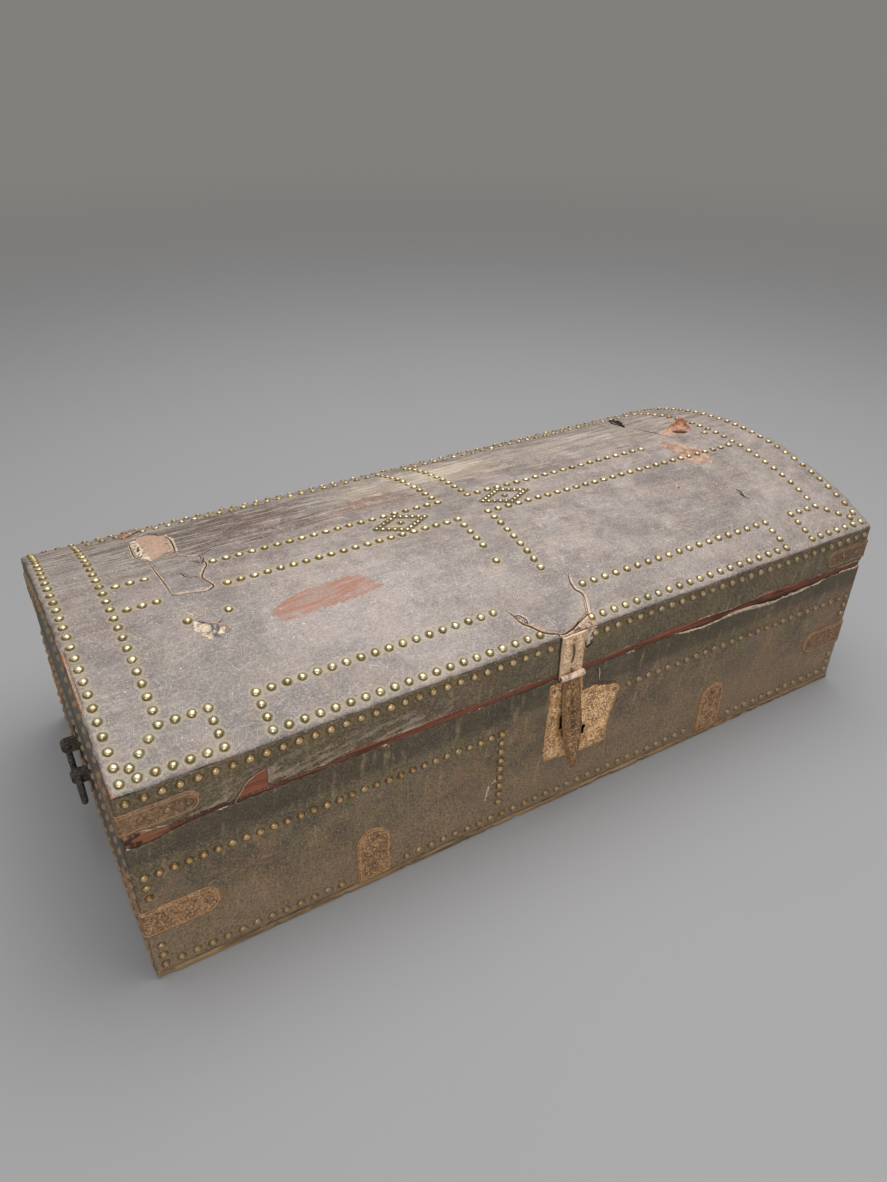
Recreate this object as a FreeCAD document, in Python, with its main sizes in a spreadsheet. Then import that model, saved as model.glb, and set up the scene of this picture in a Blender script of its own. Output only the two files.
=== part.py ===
import FreeCAD, Part
import Sketcher
import math
import os
import re

# Studded trunk: a dome-topped chest of boards under leather, with rows of domed nails, iron
# corner straps, a hasp over a lock plate, two back hinges and a drop handle at each end.
# Millimetres and degrees. +Z is up, X runs along the trunk, the front faces -Y, and the
# origin is the middle of the underside.

doc = FreeCAD.newDocument("StuddedTrunk")

# Driving sizes
SIZES = {
    # the trunk over its leather
    "trunk_length": 1100,
    "trunk_depth": 515,
    "body_height": 214,
    "lip_height": 8,
    "lid_edge_height": 60.7,
    "dome_rise": 61.3,
    # boards, leather and the gaps between them
    "wall_board": 14,
    "floor_board": 8,
    "floor_rim": 1,
    "lid_plank": 9,
    "leather": 2.5,
    "lip_recess": 1,
    "touch_gap": 0.3,
    "seam_gap": 0.3,
    # iron straps
    "strap_iron": 1.8,
    "lid_strap_width": 30,
    "lid_strap_reach": 84,
    "lid_strap_rise": 23,
    "body_strap_width": 41,
    "body_strap_reach": 86,
    "body_strap_level": 94,
    "foot_strap_width": 46,
    "foot_strap_height": 87,
    "foot_strap_place": 278,
    "foot_strap_lift": 2,
    # back hinges
    "hinge_width": 46,
    "hinge_iron": 2.4,
    "hinge_barrel": 5,
    "hinge_pin": 2.4,
    "lid_leaf_height": 46,
    "body_leaf_height": 92,
    "knuckle_gap": 0.3,
    "running_gap": 0.06,
    # lock
    "lock_left": 33,
    "lock_plate_width": 124,
    "lock_plate_drop": 2,
    "lock_plate_height": 138,
    "lock_iron": 2,
    "case_left": 16,
    "case_rise": 24,
    "case_width": 72,
    "case_height": 66,
    "case_depth": 13,
    "case_wall": 1.5,
    "slot_width": 6,
    "slot_height": 24,
    "keyhole_place": 32.5,
    "keyhole_rise": 45,
    "keyhole_radius": 4,
    "keyhole_slot_width": 4.8,
    "keyhole_slot_drop": 12,
    "key_post": 1.6,
    "key_post_length": 6,
    "bolt_length": 34,
    "bolt_height": 8,
    "bolt_depth": 4.8,
    "bolt_cover": 0.1,
    "bolt_setback": 5,
    "bolt_gap": 0.1,
    "guide_setback": 7,
    "guide_length": 24,
    "guide_wall": 3,
    # hasp
    "hasp_place": 2,
    "hasp_width": 36,
    "hasp_leaf_height": 62,
    "hasp_iron": 2.4,
    "hasp_barrel": 4.2,
    "hasp_pin": 2,
    "hasp_axis_drop": 2.3,
    "hasp_slot_width": 4,
    "hasp_slot_height": 32,
    "hasp_slot_rise": 16,
    "blade_length": 145,
    "blade_iron": 2.6,
    "blade_neck": 13,
    "blade_belly": 17,
    "blade_tip": 3,
    "blade_shoulder": 6,
    "blade_belly_drop": 88,
    "blade_side_curve": 300,
    "blade_tip_curve": 90,
    "blade_gap": 0.4,
    "staple_offset": 6,
    "staple_drop": 77,
    "staple_iron": 3.5,
    "staple_bar": 2.4,
    "staple_reach": 11.6,
    "staple_eye_height": 9.2,
    "hasp_ajar": 9,
    # handles
    "handle_level": 128,
    "eye_place": 31,
    "eye_plate_width": 26,
    "eye_plate_height": 36,
    "eye_plate_iron": 3,
    "eye_width": 12,
    "eye_round": 8,
    "bail_standoff": 15,
    "bail_bar": 4.25,
    "bail_drop": 38,
    "bail_corner": 12,
    "bail_elbow": 7,
    "bail_gap": 0.4,
    # domed nails
    "nail_head": 5,
    "nail_rise": 3.4,
    "nail_shank": 1.1,
    "nail_length": 8.5,
    "small_head": 3.1,
    "small_rise": 2.2,
    "iron_head": 3.4,
    "iron_rise": 1.6,
    "nail_pitch": 18,
    "crest_pitch": 17,
    "body_pitch": 15.6,
    "small_pitch": 8.5,
    # where the rows of nails run
    "border_inset": 12,
    "column_inset": 65,
    "panel_row_inset": 60,
    "square_inset": 117,
    "panel_inset": 169,
    "end_row_inset": 24,
    "panel_end_left": 81,
    "panel_end_right": 54,
    "border_end_left": 42,
    "border_end_right": 36,
    "flange_end_left": 33,
    "crest_row_gap": 54,
    "crest_row_shift": 9,
    "cross_row_gap": 48,
    "cross_row_shift": 7,
    "cross_end_gap": 43,
    "motif_left": 103,
    "motif_right": 62,
    "motif_reach": 36,
    "motif_side": 19,
    "single_near": 366,
    "single_far": 414,
    "single_front": 84,
    "upper_row_level": 163.5,
    "lower_row_level": 21,
    "front_column_left": 97,
    "front_column_base": 46,
    "front_row_right": 106,
    # where nails have been lost, from the middle and from the crest
    "lost_left_near": 362,
    "lost_left_far": 422,
    "lost_right_near": 350,
    "lost_right_far": 465,
    "lost_right_front": 5,
    "lost_over": 60,
    "lost_cross_near": 112,
    "lost_cross_far": 124,
    "lost_cross_end": 142,
    # how far a cut runs past its piece
    "overrun": 20,
}

# Sizes that follow from the driving ones
DERIVED = {
    "half_length": "trunk_length / 2",
    "half_depth": "trunk_depth / 2",
    "board_half_length": "half_length - leather",
    "board_half_depth": "half_depth - leather",
    "end_half_depth": "board_half_depth - wall_board",
    "end_inner": "board_half_length - wall_board",
    "seam_level": "body_height + lip_height",
    "lid_base": "seam_level + seam_gap",
    "lid_edge": "lid_base + lid_edge_height",
    "dome_radius": "(half_depth ^ 2 + dome_rise ^ 2) / (2 * dome_rise)",
    "dome_centre": "lid_edge + dome_rise - dome_radius",
    "hide_radius": "dome_radius - leather",
    "plank_top": "hide_radius - touch_gap",
    "plank_under": "plank_top - lid_plank",
    "frame_top": "plank_under - touch_gap",
    "plank_half_angle": "asin(board_half_depth / plank_top)",
    "hinge_line_y": "half_depth + hinge_barrel + knuckle_gap",
    "hinge_line_z": "seam_level + seam_gap / 2",
    "hasp_line_y": "half_depth + hasp_barrel + knuckle_gap",
    "hasp_line_z": "lid_base - hasp_axis_drop",
    "blade_inner": "hasp_barrel + knuckle_gap - lock_iron - blade_gap",
    "lock_plate_base": "body_height - lock_plate_drop - lock_plate_height",
    "case_base": "lock_plate_base + case_rise",
    "keyhole_level": "lock_plate_base + keyhole_rise",
    "slot_x": "hasp_place - staple_offset",
    "slot_z": "hasp_line_z - staple_drop",
    "bolt_front": "half_depth - bolt_cover",
    "bolt_start": "slot_x + bolt_setback",
    "guide_start": "bolt_start + guide_setback",
    "guide_half_height": "bolt_height / 2 + bolt_gap + guide_wall",
    "case_back": "half_depth - case_depth",
    "handle_line": "half_length + bail_standoff",
    "bail_arm": "eye_place + eye_width / 2 + bail_gap + bail_elbow",
    "bail_end": "eye_place - eye_width / 2 - bail_gap",
}


def full(text):
    """The expression with each size's name led by the name of its sheet."""
    def prefix(found):
        word = found.group(0)
        if word in SIZES:
            return "Sizes." + word
        return "Derived." + word if word in DERIVED else word
    return re.sub(r"[a-z_]+", prefix, text)


def fill_sheet(name, cells):
    """A spreadsheet with a name and a value or formula in each row."""
    sheet = doc.addObject("Spreadsheet::Sheet", name)
    for row, (alias, content) in enumerate(cells, start=1):
        sheet.set("A%d" % row, alias)
        sheet.set("B%d" % row, content)
        sheet.setAlias("B%d" % row, alias)
    doc.recompute()
    return sheet


sizes = fill_sheet("Sizes", [(alias, str(value)) for alias, value in SIZES.items()])
derived = fill_sheet("Derived", [
    (alias, "=" + full(text).replace("Derived.", "")) for alias, text in DERIVED.items()])
trial = doc.addObject("Spreadsheet::Sheet", "Trial")


def plain(found):
    """A sheet's value as a number without its unit."""
    return float(getattr(found, "Value", found))


def size(name):
    """The present value of one size."""
    return plain(getattr(sizes if name in SIZES else derived, name))


def number(text):
    """The present value of an expression, worked out in a cell."""
    trial.set("A1", "=" + full(text))
    trial.recompute()
    return plain(trial.get("A1"))


def bind(thing, setting, text):
    """Tie one setting of an object to an expression."""
    thing.setExpression(setting, full(text))


def place(thing, where):
    """Tie an object's position to three expressions."""
    for axis, text in zip("xyz", where):
        bind(thing, "Placement.Base." + axis, text)
    return thing


def block(label, low, lengths):
    """A board or plate, from its low corner and its three lengths."""
    made = doc.addObject("Part::Box", label)
    for setting, text in zip(("Length", "Width", "Height"), lengths):
        bind(made, setting, text)
    return place(made, low)


def combine(kind, label, base, tool):
    """One shape cut from or fused to another."""
    made = doc.addObject("Part::" + kind, label)
    made.Base = base
    made.Tool = tool
    return made


def group(label, pieces):
    """Like pieces that share one node."""
    made = doc.addObject("Part::Compound", label)
    made.Links = pieces
    return made


def arc_of(start, end, radius, side):
    """The arc between two points; its centre is left of the way for side 1, right for -1."""
    across = end - start
    half = across.Length / 2
    away = math.sqrt(max(radius * radius - half * half, 0))
    left = FreeCAD.Vector(-across.y, across.x, 0).normalize()
    centre = (start + end) * 0.5 + left * (away * side)
    first, last = (start, end) if side > 0 else (end, start)
    angles = [math.atan2(point.y - centre.y, point.x - centre.x) for point in (first, last)]
    circle = Part.Circle(centre, FreeCAD.Vector(0, 0, 1), radius)
    return Part.ArcOfCircle(circle, angles[0], angles[1])


def draw(sketch, outline):
    """A closed outline of points (across, up), each tied to expressions. A third entry makes
    the edge that arrives at the point an arc, of that radius and side."""
    points = [FreeCAD.Vector(number(point[0]), number(point[1]), 0) for point in outline]
    count = len(outline)
    ends = []
    for index in range(count):
        arrive = outline[(index + 1) % count]
        start, end = points[index], points[(index + 1) % count]
        if len(arrive) == 2:
            sketch.addGeometry(Part.LineSegment(start, end))
            ends.append((1, 2))
        else:
            radius, side = arrive[2]
            sketch.addGeometry(arc_of(start, end, number(radius), side))
            ends.append((1, 2) if side > 0 else (2, 1))
            rule = sketch.addConstraint(Sketcher.Constraint("Radius", index, number(radius)))
            bind(sketch, "Constraints[%d]" % rule, radius)
    for index in range(count):
        after = (index + 1) % count
        sketch.addConstraint(Sketcher.Constraint(
            "Coincident", index, ends[index][1], after, ends[after][0]))
        for kind, text in zip(("DistanceX", "DistanceY"), outline[index]):
            rule = sketch.addConstraint(Sketcher.Constraint(
                kind, -1, 1, index, ends[index][0], number(text)))
            bind(sketch, "Constraints[%d]" % rule, text)


def draw_circle(sketch, across, up, radius):
    """A circle whose centre and radius are tied to expressions."""
    centre = FreeCAD.Vector(number(across), number(up), 0)
    sketch.addGeometry(Part.Circle(centre, FreeCAD.Vector(0, 0, 1), number(radius)))
    rules = [("Radius", 0), ("DistanceX", -1, 1, 0, 3), ("DistanceY", -1, 1, 0, 3)]
    for rule, text in zip(rules, (radius, across, up)):
        made = sketch.addConstraint(Sketcher.Constraint(*rule, number(text)))
        bind(sketch, "Constraints[%d]" % made, text)


# The plane of a sketch, and the way its normal points along that axis
PLANES = {"X": ("YZ_Plane", 1), "Y": ("XZ_Plane", -1), "Z": ("XY_Plane", 1)}


def new_body(label):
    """An empty body, ready for its features."""
    return doc.addObject("PartDesign::Body", label)


def new_sketch(body, axis, level, outline):
    """A sketch square to an axis at a level on it; a dictionary outline is a circle."""
    role, way = PLANES[axis]
    plane = [part for part in body.Origin.OriginFeatures if part.Role == role][0]
    sketch = body.newObject("Sketcher::SketchObject", body.Name + "_outline")
    sketch.AttachmentSupport = (plane, [""])
    sketch.MapMode = "FlatFace"
    bind(sketch, "AttachmentOffset.Base.z", "%d * (%s)" % (way, level))
    if isinstance(outline, dict):
        draw_circle(sketch, **outline)
    else:
        draw(sketch, outline)
    return sketch


def pad(body, axis, level, thickness, outline, grow=1):
    """A solid from an outline, growing up or down its axis from a level."""
    made = body.newObject("PartDesign::Pad", body.Name + "_pad")
    made.Profile = new_sketch(body, axis, level, outline)
    bind(made, "Length", thickness)
    made.Reversed = PLANES[axis][1] != grow
    body.Tip = made
    return body


def pierce(body, axis, level, outline, thickness="overrun"):
    """A hole right through a body of some thickness, both ways from a level."""
    made = body.newObject("PartDesign::Pocket", body.Name + "_hole")
    made.Profile = new_sketch(body, axis, level, outline)
    made.SideType = "Symmetric"
    bind(made, "Length", thickness + " + overrun")
    body.Tip = made
    return body


def on_arc(radius, across):
    """The level of the lid's arc of a radius, at a distance from the middle."""
    return "(dome_centre + sqrt((%s) ^ 2 - (%s) ^ 2))" % (radius, across)


def rectangle(low, high):
    """The outline of a rectangle between two corners."""
    return [(low[0], low[1]), (high[0], low[1]), (high[0], high[1]), (low[0], high[1])]


# The body's boards

def body_walls():
    """Floor, front, back and end boards; the front one stops below the lip."""
    floor = block("floor_board",
                  ("-half_length - floor_rim", "-half_depth - floor_rim", "0"),
                  ("trunk_length + 2 * floor_rim", "trunk_depth + 2 * floor_rim", "floor_board"))
    front = block("front_blank",
                  ("-board_half_length", "-board_half_depth", "floor_board"),
                  ("2 * board_half_length", "wall_board", "body_height - floor_board"))
    back = block("back_board",
                 ("-board_half_length", "end_half_depth", "floor_board"),
                 ("2 * board_half_length", "wall_board", "seam_level - floor_board"))
    left = block("left_end_board",
                 ("-board_half_length", "-end_half_depth", "floor_board"),
                 ("wall_board", "2 * end_half_depth", "seam_level - floor_board"))
    right = block("right_end_board",
                  ("end_inner", "-end_half_depth", "floor_board"),
                  ("wall_board", "2 * end_half_depth", "seam_level - floor_board"))
    lip = block("front_lip",
                ("-board_half_length", "-half_depth + lip_recess", "body_height"),
                ("2 * board_half_length", "leather + wall_board - lip_recess", "lip_height"))
    pocket = block("front_pocket",
                   ("-case_left - touch_gap", "-board_half_depth - overrun",
                    "case_base - touch_gap"),
                   ("case_width + 2 * touch_gap",
                    "overrun + case_depth - leather + touch_gap",
                    "case_height + 2 * touch_gap"))
    front_board = combine("Cut", "front_board", front, pocket)
    return [floor, front_board, back, left, right, lip]


def body_hides():
    """The leather on the four sides of the body."""
    blank = block("front_hide_blank",
                  ("-half_length", "-half_depth", "floor_board"),
                  ("trunk_length", "leather", "body_height - floor_board"))
    opening = block("front_hide_opening",
                    ("-case_left - touch_gap", "-half_depth - overrun",
                     "case_base - touch_gap"),
                    ("case_width + 2 * touch_gap", "2 * overrun",
                     "case_height + 2 * touch_gap"))
    front = combine("Cut", "front_leather", blank, opening)
    back = block("back_leather",
                 ("-half_length", "board_half_depth", "floor_board"),
                 ("trunk_length", "leather", "seam_level - floor_board"))
    left = block("left_end_leather",
                 ("-half_length", "-board_half_depth", "floor_board"),
                 ("leather", "2 * board_half_depth", "seam_level - floor_board"))
    right = block("right_end_leather",
                  ("board_half_length", "-board_half_depth", "floor_board"),
                  ("leather", "2 * board_half_depth", "seam_level - floor_board"))
    return [front, back, left, right]


# The lid's frame, planks and leather

def under_arc(label, near, far, radius, start, thickness):
    """A piece of the lid's cross section: from the seam up to an arc, run along X."""
    outline = [(near, "lid_base"), (far, "lid_base"), (far, on_arc(radius, far)),
               (near, on_arc(radius, near), (radius, 1))]
    return pad(new_body(label), "X", start, thickness, outline)


def lid_frame():
    """Front and back rails, and the two arched end boards between them."""
    inner, outer = "end_half_depth", "board_half_depth"
    length = "2 * board_half_length"
    return [
        under_arc("lid_front_rail", "-" + outer, "-" + inner, "frame_top",
                  "-board_half_length", length),
        under_arc("lid_back_rail", inner, outer, "frame_top", "-board_half_length", length),
        under_arc("lid_left_board", "-" + inner, inner, "frame_top",
                  "-board_half_length", "wall_board"),
        under_arc("lid_right_board", "-" + inner, inner, "frame_top",
                  "end_inner", "wall_board"),
    ]


PLANK_COUNT = 5


def lid_planks():
    """Curved planks side by side over the frame; the outer two end upright at the leather."""
    made = []
    for index in range(PLANK_COUNT):
        sides = []
        for joint in (index, index + 1):
            share = 2 * joint / PLANK_COUNT - 1
            if abs(share) == 1:
                edge = "%d * board_half_depth" % share
                sides.append([(edge, on_arc("plank_top", edge)),
                              (edge, on_arc("plank_under", edge))])
            else:
                angle = "plank_half_angle * %r" % share
                sides.append([("%s * sin(%s)" % (radius, angle),
                               "dome_centre + %s * cos(%s)" % (radius, angle))
                              for radius in ("plank_top", "plank_under")])
        near, far = sides
        outline = [near[1], far[1] + (("plank_under", -1),), far[0],
                   near[0] + (("plank_top", 1),)]
        made.append(pad(new_body("lid_plank_%d" % (index + 1)), "X", "-board_half_length",
                        "2 * board_half_length", outline))
    return made


def lid_hides():
    """The leather over the dome, on the lid's front and back, and on its two ends."""
    low, high = "-half_depth", "half_depth"
    skin = [(low, on_arc("hide_radius", low)),
            (high, on_arc("hide_radius", high), ("hide_radius", -1)),
            (high, on_arc("dome_radius", high)),
            (low, on_arc("dome_radius", low), ("dome_radius", 1))]
    top = pad(new_body("lid_top_leather"), "X", "-half_length", "trunk_length", skin)
    under = "hide_radius - touch_gap"
    board = "board_half_depth"
    return [
        top,
        under_arc("lid_front_leather", low, "-" + board, under, "-half_length",
                  "trunk_length"),
        under_arc("lid_back_leather", board, high, under, "-half_length", "trunk_length"),
        under_arc("lid_left_leather", "-" + board, board, under, "-half_length", "leather"),
        under_arc("lid_right_leather", "-" + board, board, under, "board_half_length",
                  "leather"),
    ]


# Straps

def strap_leg(corner, reach, width, level, way):
    """The outline of one leg of a corner strap, square at the corner, round at its end."""
    half = "(%s) / 2" % width
    tip = "%d * (%s - %s)" % (way, corner, reach)
    shoulder = "%d * (%s - %s + %s)" % (way, corner, reach, half)
    edge = "%d * (%s)" % (way, corner)
    up, down = "%s + %s" % (level, half), "%s - %s" % (level, half)
    return [(edge, down), (edge, up), (shoulder, up),
            (tip, level, (half, way)), (shoulder, down, (half, way))]


def corner_strap(label, side, face, reach, width, level):
    """A flat iron strap bent around an upright corner; side is along X, face along Y."""
    body = new_body(label)
    wrap = "half_depth + strap_iron"
    pad(body, "Y", "%d * half_depth" % face, "strap_iron",
        strap_leg("half_length", reach, width, level, side), grow=face)
    pad(body, "X", "%d * half_length" % side, "strap_iron",
        strap_leg(wrap, reach, width, level, face), grow=side)
    return body


def corner_straps():
    """Four straps round the corners of the lid, and four round those of the body."""
    made = []
    for side, side_name in ((-1, "left"), (1, "right")):
        for face, face_name in ((-1, "front"), (1, "back")):
            name = "%s_%s_strap" % (side_name, face_name)
            made.append(corner_strap("lid_" + name, side, face, "lid_strap_reach",
                                     "lid_strap_width", "lid_base + lid_strap_rise"))
            made.append(corner_strap("body_" + name, side, face, "body_strap_reach",
                                     "body_strap_width", "body_strap_level"))
    return made


def foot_straps():
    """Two upright straps on the front, square at the foot and round at the top."""
    made = []
    half = "foot_strap_width / 2"
    for side, name in ((-1, "left"), (1, "right")):
        middle = "%d * foot_strap_place" % side
        shoulder = "floor_board + foot_strap_height - %s" % half
        outline = [("%s - %s" % (middle, half), "floor_board + foot_strap_lift"),
                   ("%s + %s" % (middle, half), "floor_board + foot_strap_lift"),
                   ("%s + %s" % (middle, half), shoulder),
                   (middle, "floor_board + foot_strap_height", (half, 1)),
                   ("%s - %s" % (middle, half), shoulder, (half, 1))]
        made.append(pad(new_body(name + "_foot_strap"), "Y", "-half_depth", "strap_iron",
                        outline, grow=-1))
    return made


# Hinges, with sizes measured from the line of the pin

KNUCKLE_SHARE = 0.36


def leaf(label, wall, up, middle, width, height, iron, barrel, pin, round_end):
    """A hinge leaf. wall is the way from the pin to the wall along Y, up the way of the plate
    along Z. The middle leaf has the middle knuckle, the other has the two outer ones."""
    body = new_body(label)
    half = "%s / 2" % width
    inner = "%s * %r" % (half, KNUCKLE_SHARE)
    tongue = "%s - knuckle_gap" % inner if middle else inner
    notch = "%d * (%s + knuckle_gap)" % (up, barrel)
    end = "%d * (%s)" % (up, height)
    if middle:
        foot = [("-" + half, notch), ("-(%s)" % tongue, notch), ("-(%s)" % tongue, "0"),
                (tongue, "0"), (tongue, notch), (half, notch)]
        knuckles = [("-(%s)" % tongue, "2 * (%s)" % tongue)]
    else:
        foot = [("-" + half, "0"), ("-(%s)" % tongue, "0"), ("-(%s)" % tongue, notch),
                (tongue, notch), (tongue, "0"), (half, "0")]
        knuckles = [("-" + half, "%s - (%s)" % (half, tongue)),
                    (tongue, "%s - (%s)" % (half, tongue))]
    if round_end:
        shoulder = "%s - %d * %s" % (end, up, half)
        top = [(half, shoulder), ("0", end, (half, up)), ("-" + half, shoulder, (half, up))]
    else:
        top = [(half, end), ("-" + half, end)]
    pad(body, "Y", "%d * (%s + knuckle_gap)" % (wall, barrel), iron, foot + top, grow=-wall)
    for start, length in knuckles:
        pad(body, "X", start, length, {"across": "0", "up": "0", "radius": barrel})
    pierce(body, "X", "0", {"across": "0", "up": "0", "radius": pin + " + running_gap"}, width)
    return body


def back_hinges():
    """Two hinges with long round-ended leaves, and their pins."""
    made, pins = [], []
    for side, name in ((-1, "left"), (1, "right")):
        where = ("%d * foot_strap_place" % side, "hinge_line_y", "hinge_line_z")
        for part, up, middle, height in (("lid", 1, True, "lid_leaf_height"),
                                         ("body", -1, False, "body_leaf_height")):
            body = leaf("%s_hinge_%s_leaf" % (name, part), -1, up, middle, "hinge_width",
                        height, "hinge_iron", "hinge_barrel", "hinge_pin", True)
            made.append(place(body, where))
        pins.append(pin_along_x(name + "_hinge_pin", where, "hinge_pin", "hinge_width"))
    return made + [group("hinge_pins", pins)]


def pin_along_x(label, where, radius, length):
    """A round pin along X, centred on a point."""
    pin = pad(new_body(label), "X", "-%s / 2" % length, length,
              {"across": "0", "up": "0", "radius": radius})
    return place(pin, where)


# Hasp, built about the line of its pin

HASP_LINE = ("hasp_place", "-hasp_line_y", "hasp_line_z")


def hasp():
    """The leaf on the lid with its slot, the pin, and the swinging blade with its staple."""
    plate = leaf("hasp_leaf", 1, 1, False, "hasp_width", "hasp_leaf_height", "hasp_iron",
                 "hasp_barrel", "hasp_pin", False)
    slot = rectangle(("-hasp_slot_width / 2", "hasp_slot_rise"),
                     ("hasp_slot_width / 2", "hasp_slot_rise + hasp_slot_height"))
    pierce(plate, "Y", "0", slot)
    pin = pin_along_x("hasp_pin", HASP_LINE, "hasp_pin", "hasp_width")

    blade = new_body("hasp_blade")
    tongue = "hasp_width / 2 * %r - knuckle_gap" % KNUCKLE_SHARE
    side_curve, tip_curve = ("blade_side_curve", -1), ("blade_tip_curve", 1)
    outline = [("-(%s)" % tongue, "0"), ("-(%s)" % tongue, "-blade_shoulder"),
               ("-blade_neck", "-blade_shoulder"),
               ("-blade_belly", "-blade_belly_drop", side_curve),
               ("-blade_tip", "-blade_length", tip_curve),
               ("blade_tip", "-blade_length"),
               ("blade_belly", "-blade_belly_drop", tip_curve),
               ("blade_neck", "-blade_shoulder", side_curve),
               (tongue, "-blade_shoulder"), (tongue, "0")]
    pad(blade, "Y", "blade_inner", "blade_iron", outline, grow=-1)
    pad(blade, "X", "-(%s)" % tongue, "2 * (%s)" % tongue,
        {"across": "0", "up": "0", "radius": "hasp_barrel"})
    eye, outer = "staple_eye_height / 2", "(staple_eye_height / 2 + staple_bar)"
    root, nose = "blade_inner - blade_iron / 2", "blade_inner + staple_reach"
    loop = [(root, "-staple_drop - " + outer), (nose, "-staple_drop - " + outer),
            (nose, "-staple_drop + " + outer), (root, "-staple_drop + " + outer),
            (root, "-staple_drop + " + eye), (nose + " - staple_bar", "-staple_drop + " + eye),
            (nose + " - staple_bar", "-staple_drop - " + eye), (root, "-staple_drop - " + eye)]
    pad(blade, "X", "-staple_offset - staple_iron / 2", "staple_iron", loop)
    pierce(blade, "X", "0", {"across": "0", "up": "0", "radius": "hasp_pin + running_gap"})
    place(plate, HASP_LINE)
    place(blade, HASP_LINE)
    blade.Placement.Rotation = FreeCAD.Rotation(FreeCAD.Vector(1, 0, 0), 0)
    bind(blade, "Placement.Rotation.Axis.x", "1")
    bind(blade, "Placement.Rotation.Axis.z", "0")
    bind(blade, "Placement.Rotation.Angle", "-hasp_ajar")
    return [plate, pin, blade]


# Lock. The outline of the worn plate is in shares of its width and height.

PLATE_SHARES = [(0.04, 1.0), (0.045, 0.83), (0.03, 0.55), (0.015, 0.14), (0.05, 0.07),
                (0.53, 0.0), (0.885, 0.025), (0.885, 0.25), (0.93, 0.45), (1.0, 0.66),
                (0.9, 0.76), (0.7, 0.825), (0.49, 0.8), (0.46, 1.0)]
PLATE_NAIL_SHARES = [(0.085, 0.93), (0.08, 0.1), (0.83, 0.09), (0.91, 0.66)]


def on_plate(across, up):
    """A point of the lock plate, from its shares."""
    return ("-lock_left + lock_plate_width * %r" % across,
            "lock_plate_base + lock_plate_height * %r" % up)


def lock():
    """The plate with its slot and keyhole, the case behind it, and the sliding bolt."""
    plate = pad(new_body("lock_plate"), "Y", "-half_depth", "lock_iron",
                [on_plate(*share) for share in PLATE_SHARES], grow=-1)
    pierce(plate, "Y", "-half_depth", rectangle(
        ("slot_x - slot_width / 2", "slot_z - slot_height / 2"),
        ("slot_x + slot_width / 2", "slot_z + slot_height / 2")))
    pierce(plate, "Y", "-half_depth", {"across": "keyhole_place", "up": "keyhole_level",
                                       "radius": "keyhole_radius"})
    pierce(plate, "Y", "-half_depth", rectangle(
        ("keyhole_place - keyhole_slot_width / 2", "keyhole_level - keyhole_slot_drop"),
        ("keyhole_place + keyhole_slot_width / 2", "keyhole_level")))

    shell = block("case_blank", ("-case_left", "-half_depth", "case_base"),
                  ("case_width", "case_depth", "case_height"))
    hollow = block("case_hollow",
                   ("-case_left + case_wall", "-half_depth - overrun",
                    "case_base + case_wall"),
                   ("case_width - 2 * case_wall", "overrun + case_depth - case_wall",
                    "case_height - 2 * case_wall"))
    tray = combine("Cut", "case_tray", shell, hollow)
    guide_blank = block("guide_blank",
                        ("guide_start", "-bolt_front", "slot_z - guide_half_height"),
                        ("guide_length", "bolt_front - case_back - case_wall / 2",
                         "2 * guide_half_height"))
    groove = block("guide_groove",
                   ("guide_start - overrun", "-bolt_front - overrun",
                    "slot_z - bolt_height / 2 - bolt_gap"),
                   ("guide_length + 2 * overrun", "overrun + bolt_depth + bolt_gap",
                    "bolt_height + 2 * bolt_gap"))
    guide = combine("Cut", "guide_channel", guide_blank, groove)
    tray_and_guide = combine("Fuse", "case_with_guide", tray, guide)
    post = pad(new_body("key_post_blank"), "Y", "-case_back - case_wall / 2",
               "key_post_length + case_wall / 2",
               {"across": "keyhole_place", "up": "keyhole_level", "radius": "key_post"},
               grow=-1)
    case = combine("Fuse", "lock_case", tray_and_guide, post)
    bolt = block("lock_bolt", ("bolt_start", "-bolt_front", "slot_z - bolt_height / 2"),
                 ("bolt_length", "bolt_depth", "bolt_height"))
    return [plate, case, bolt]


# Handles, at the left end for side -1 and at the right end for side 1

def handle_eye(label, side, across):
    """A plate on the end leather with a round-nosed lug, bored for the bail."""
    body = new_body(label)
    half_width, half_height = "eye_plate_width / 2", "eye_plate_height / 2"
    pad(body, "X", "%d * half_length" % side, "eye_plate_iron",
        rectangle(("%s - %s" % (across, half_width), "handle_level - " + half_height),
                  ("%s + %s" % (across, half_width), "handle_level + " + half_height)),
        grow=side)
    root, line = "%d * half_length" % side, "%d * handle_line" % side
    nose = "%d * (handle_line + eye_round)" % side
    lug = [(root, "handle_level - eye_round"), (line, "handle_level - eye_round"),
           (nose, "handle_level", ("eye_round", side)),
           (line, "handle_level + eye_round", ("eye_round", side)),
           (root, "handle_level + eye_round")]
    pad(body, "Y", "%s - eye_width / 2" % across, "eye_width", lug)
    pierce(body, "Y", across, {"across": line, "up": "handle_level",
                               "radius": "bail_bar + running_gap"})
    return body


def bail_path(body, side):
    """The line of the bail: in from one eye, down, across under the hand, and up again."""
    arm, end, level = "bail_arm", "bail_end", "handle_level"
    grip = "handle_level - bail_drop"
    corner, elbow = "bail_corner", "bail_elbow"
    sketch = new_sketch(body, "X", "%d * handle_line" % side, [])
    stops = [("-(%s)" % end, level), ("-(%s - %s)" % (arm, elbow), level),
             ("-(%s)" % arm, "%s - %s" % (level, elbow), (elbow, 1)),
             ("-(%s)" % arm, "%s + %s" % (grip, corner)),
             ("-(%s - %s)" % (arm, corner), grip, (corner, 1)),
             ("%s - %s" % (arm, corner), grip),
             (arm, "%s + %s" % (grip, corner), (corner, 1)),
             (arm, "%s - %s" % (level, elbow)),
             ("%s - %s" % (arm, elbow), level, (elbow, 1)), (end, level)]
    draw_path(sketch, stops)
    return sketch


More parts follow.
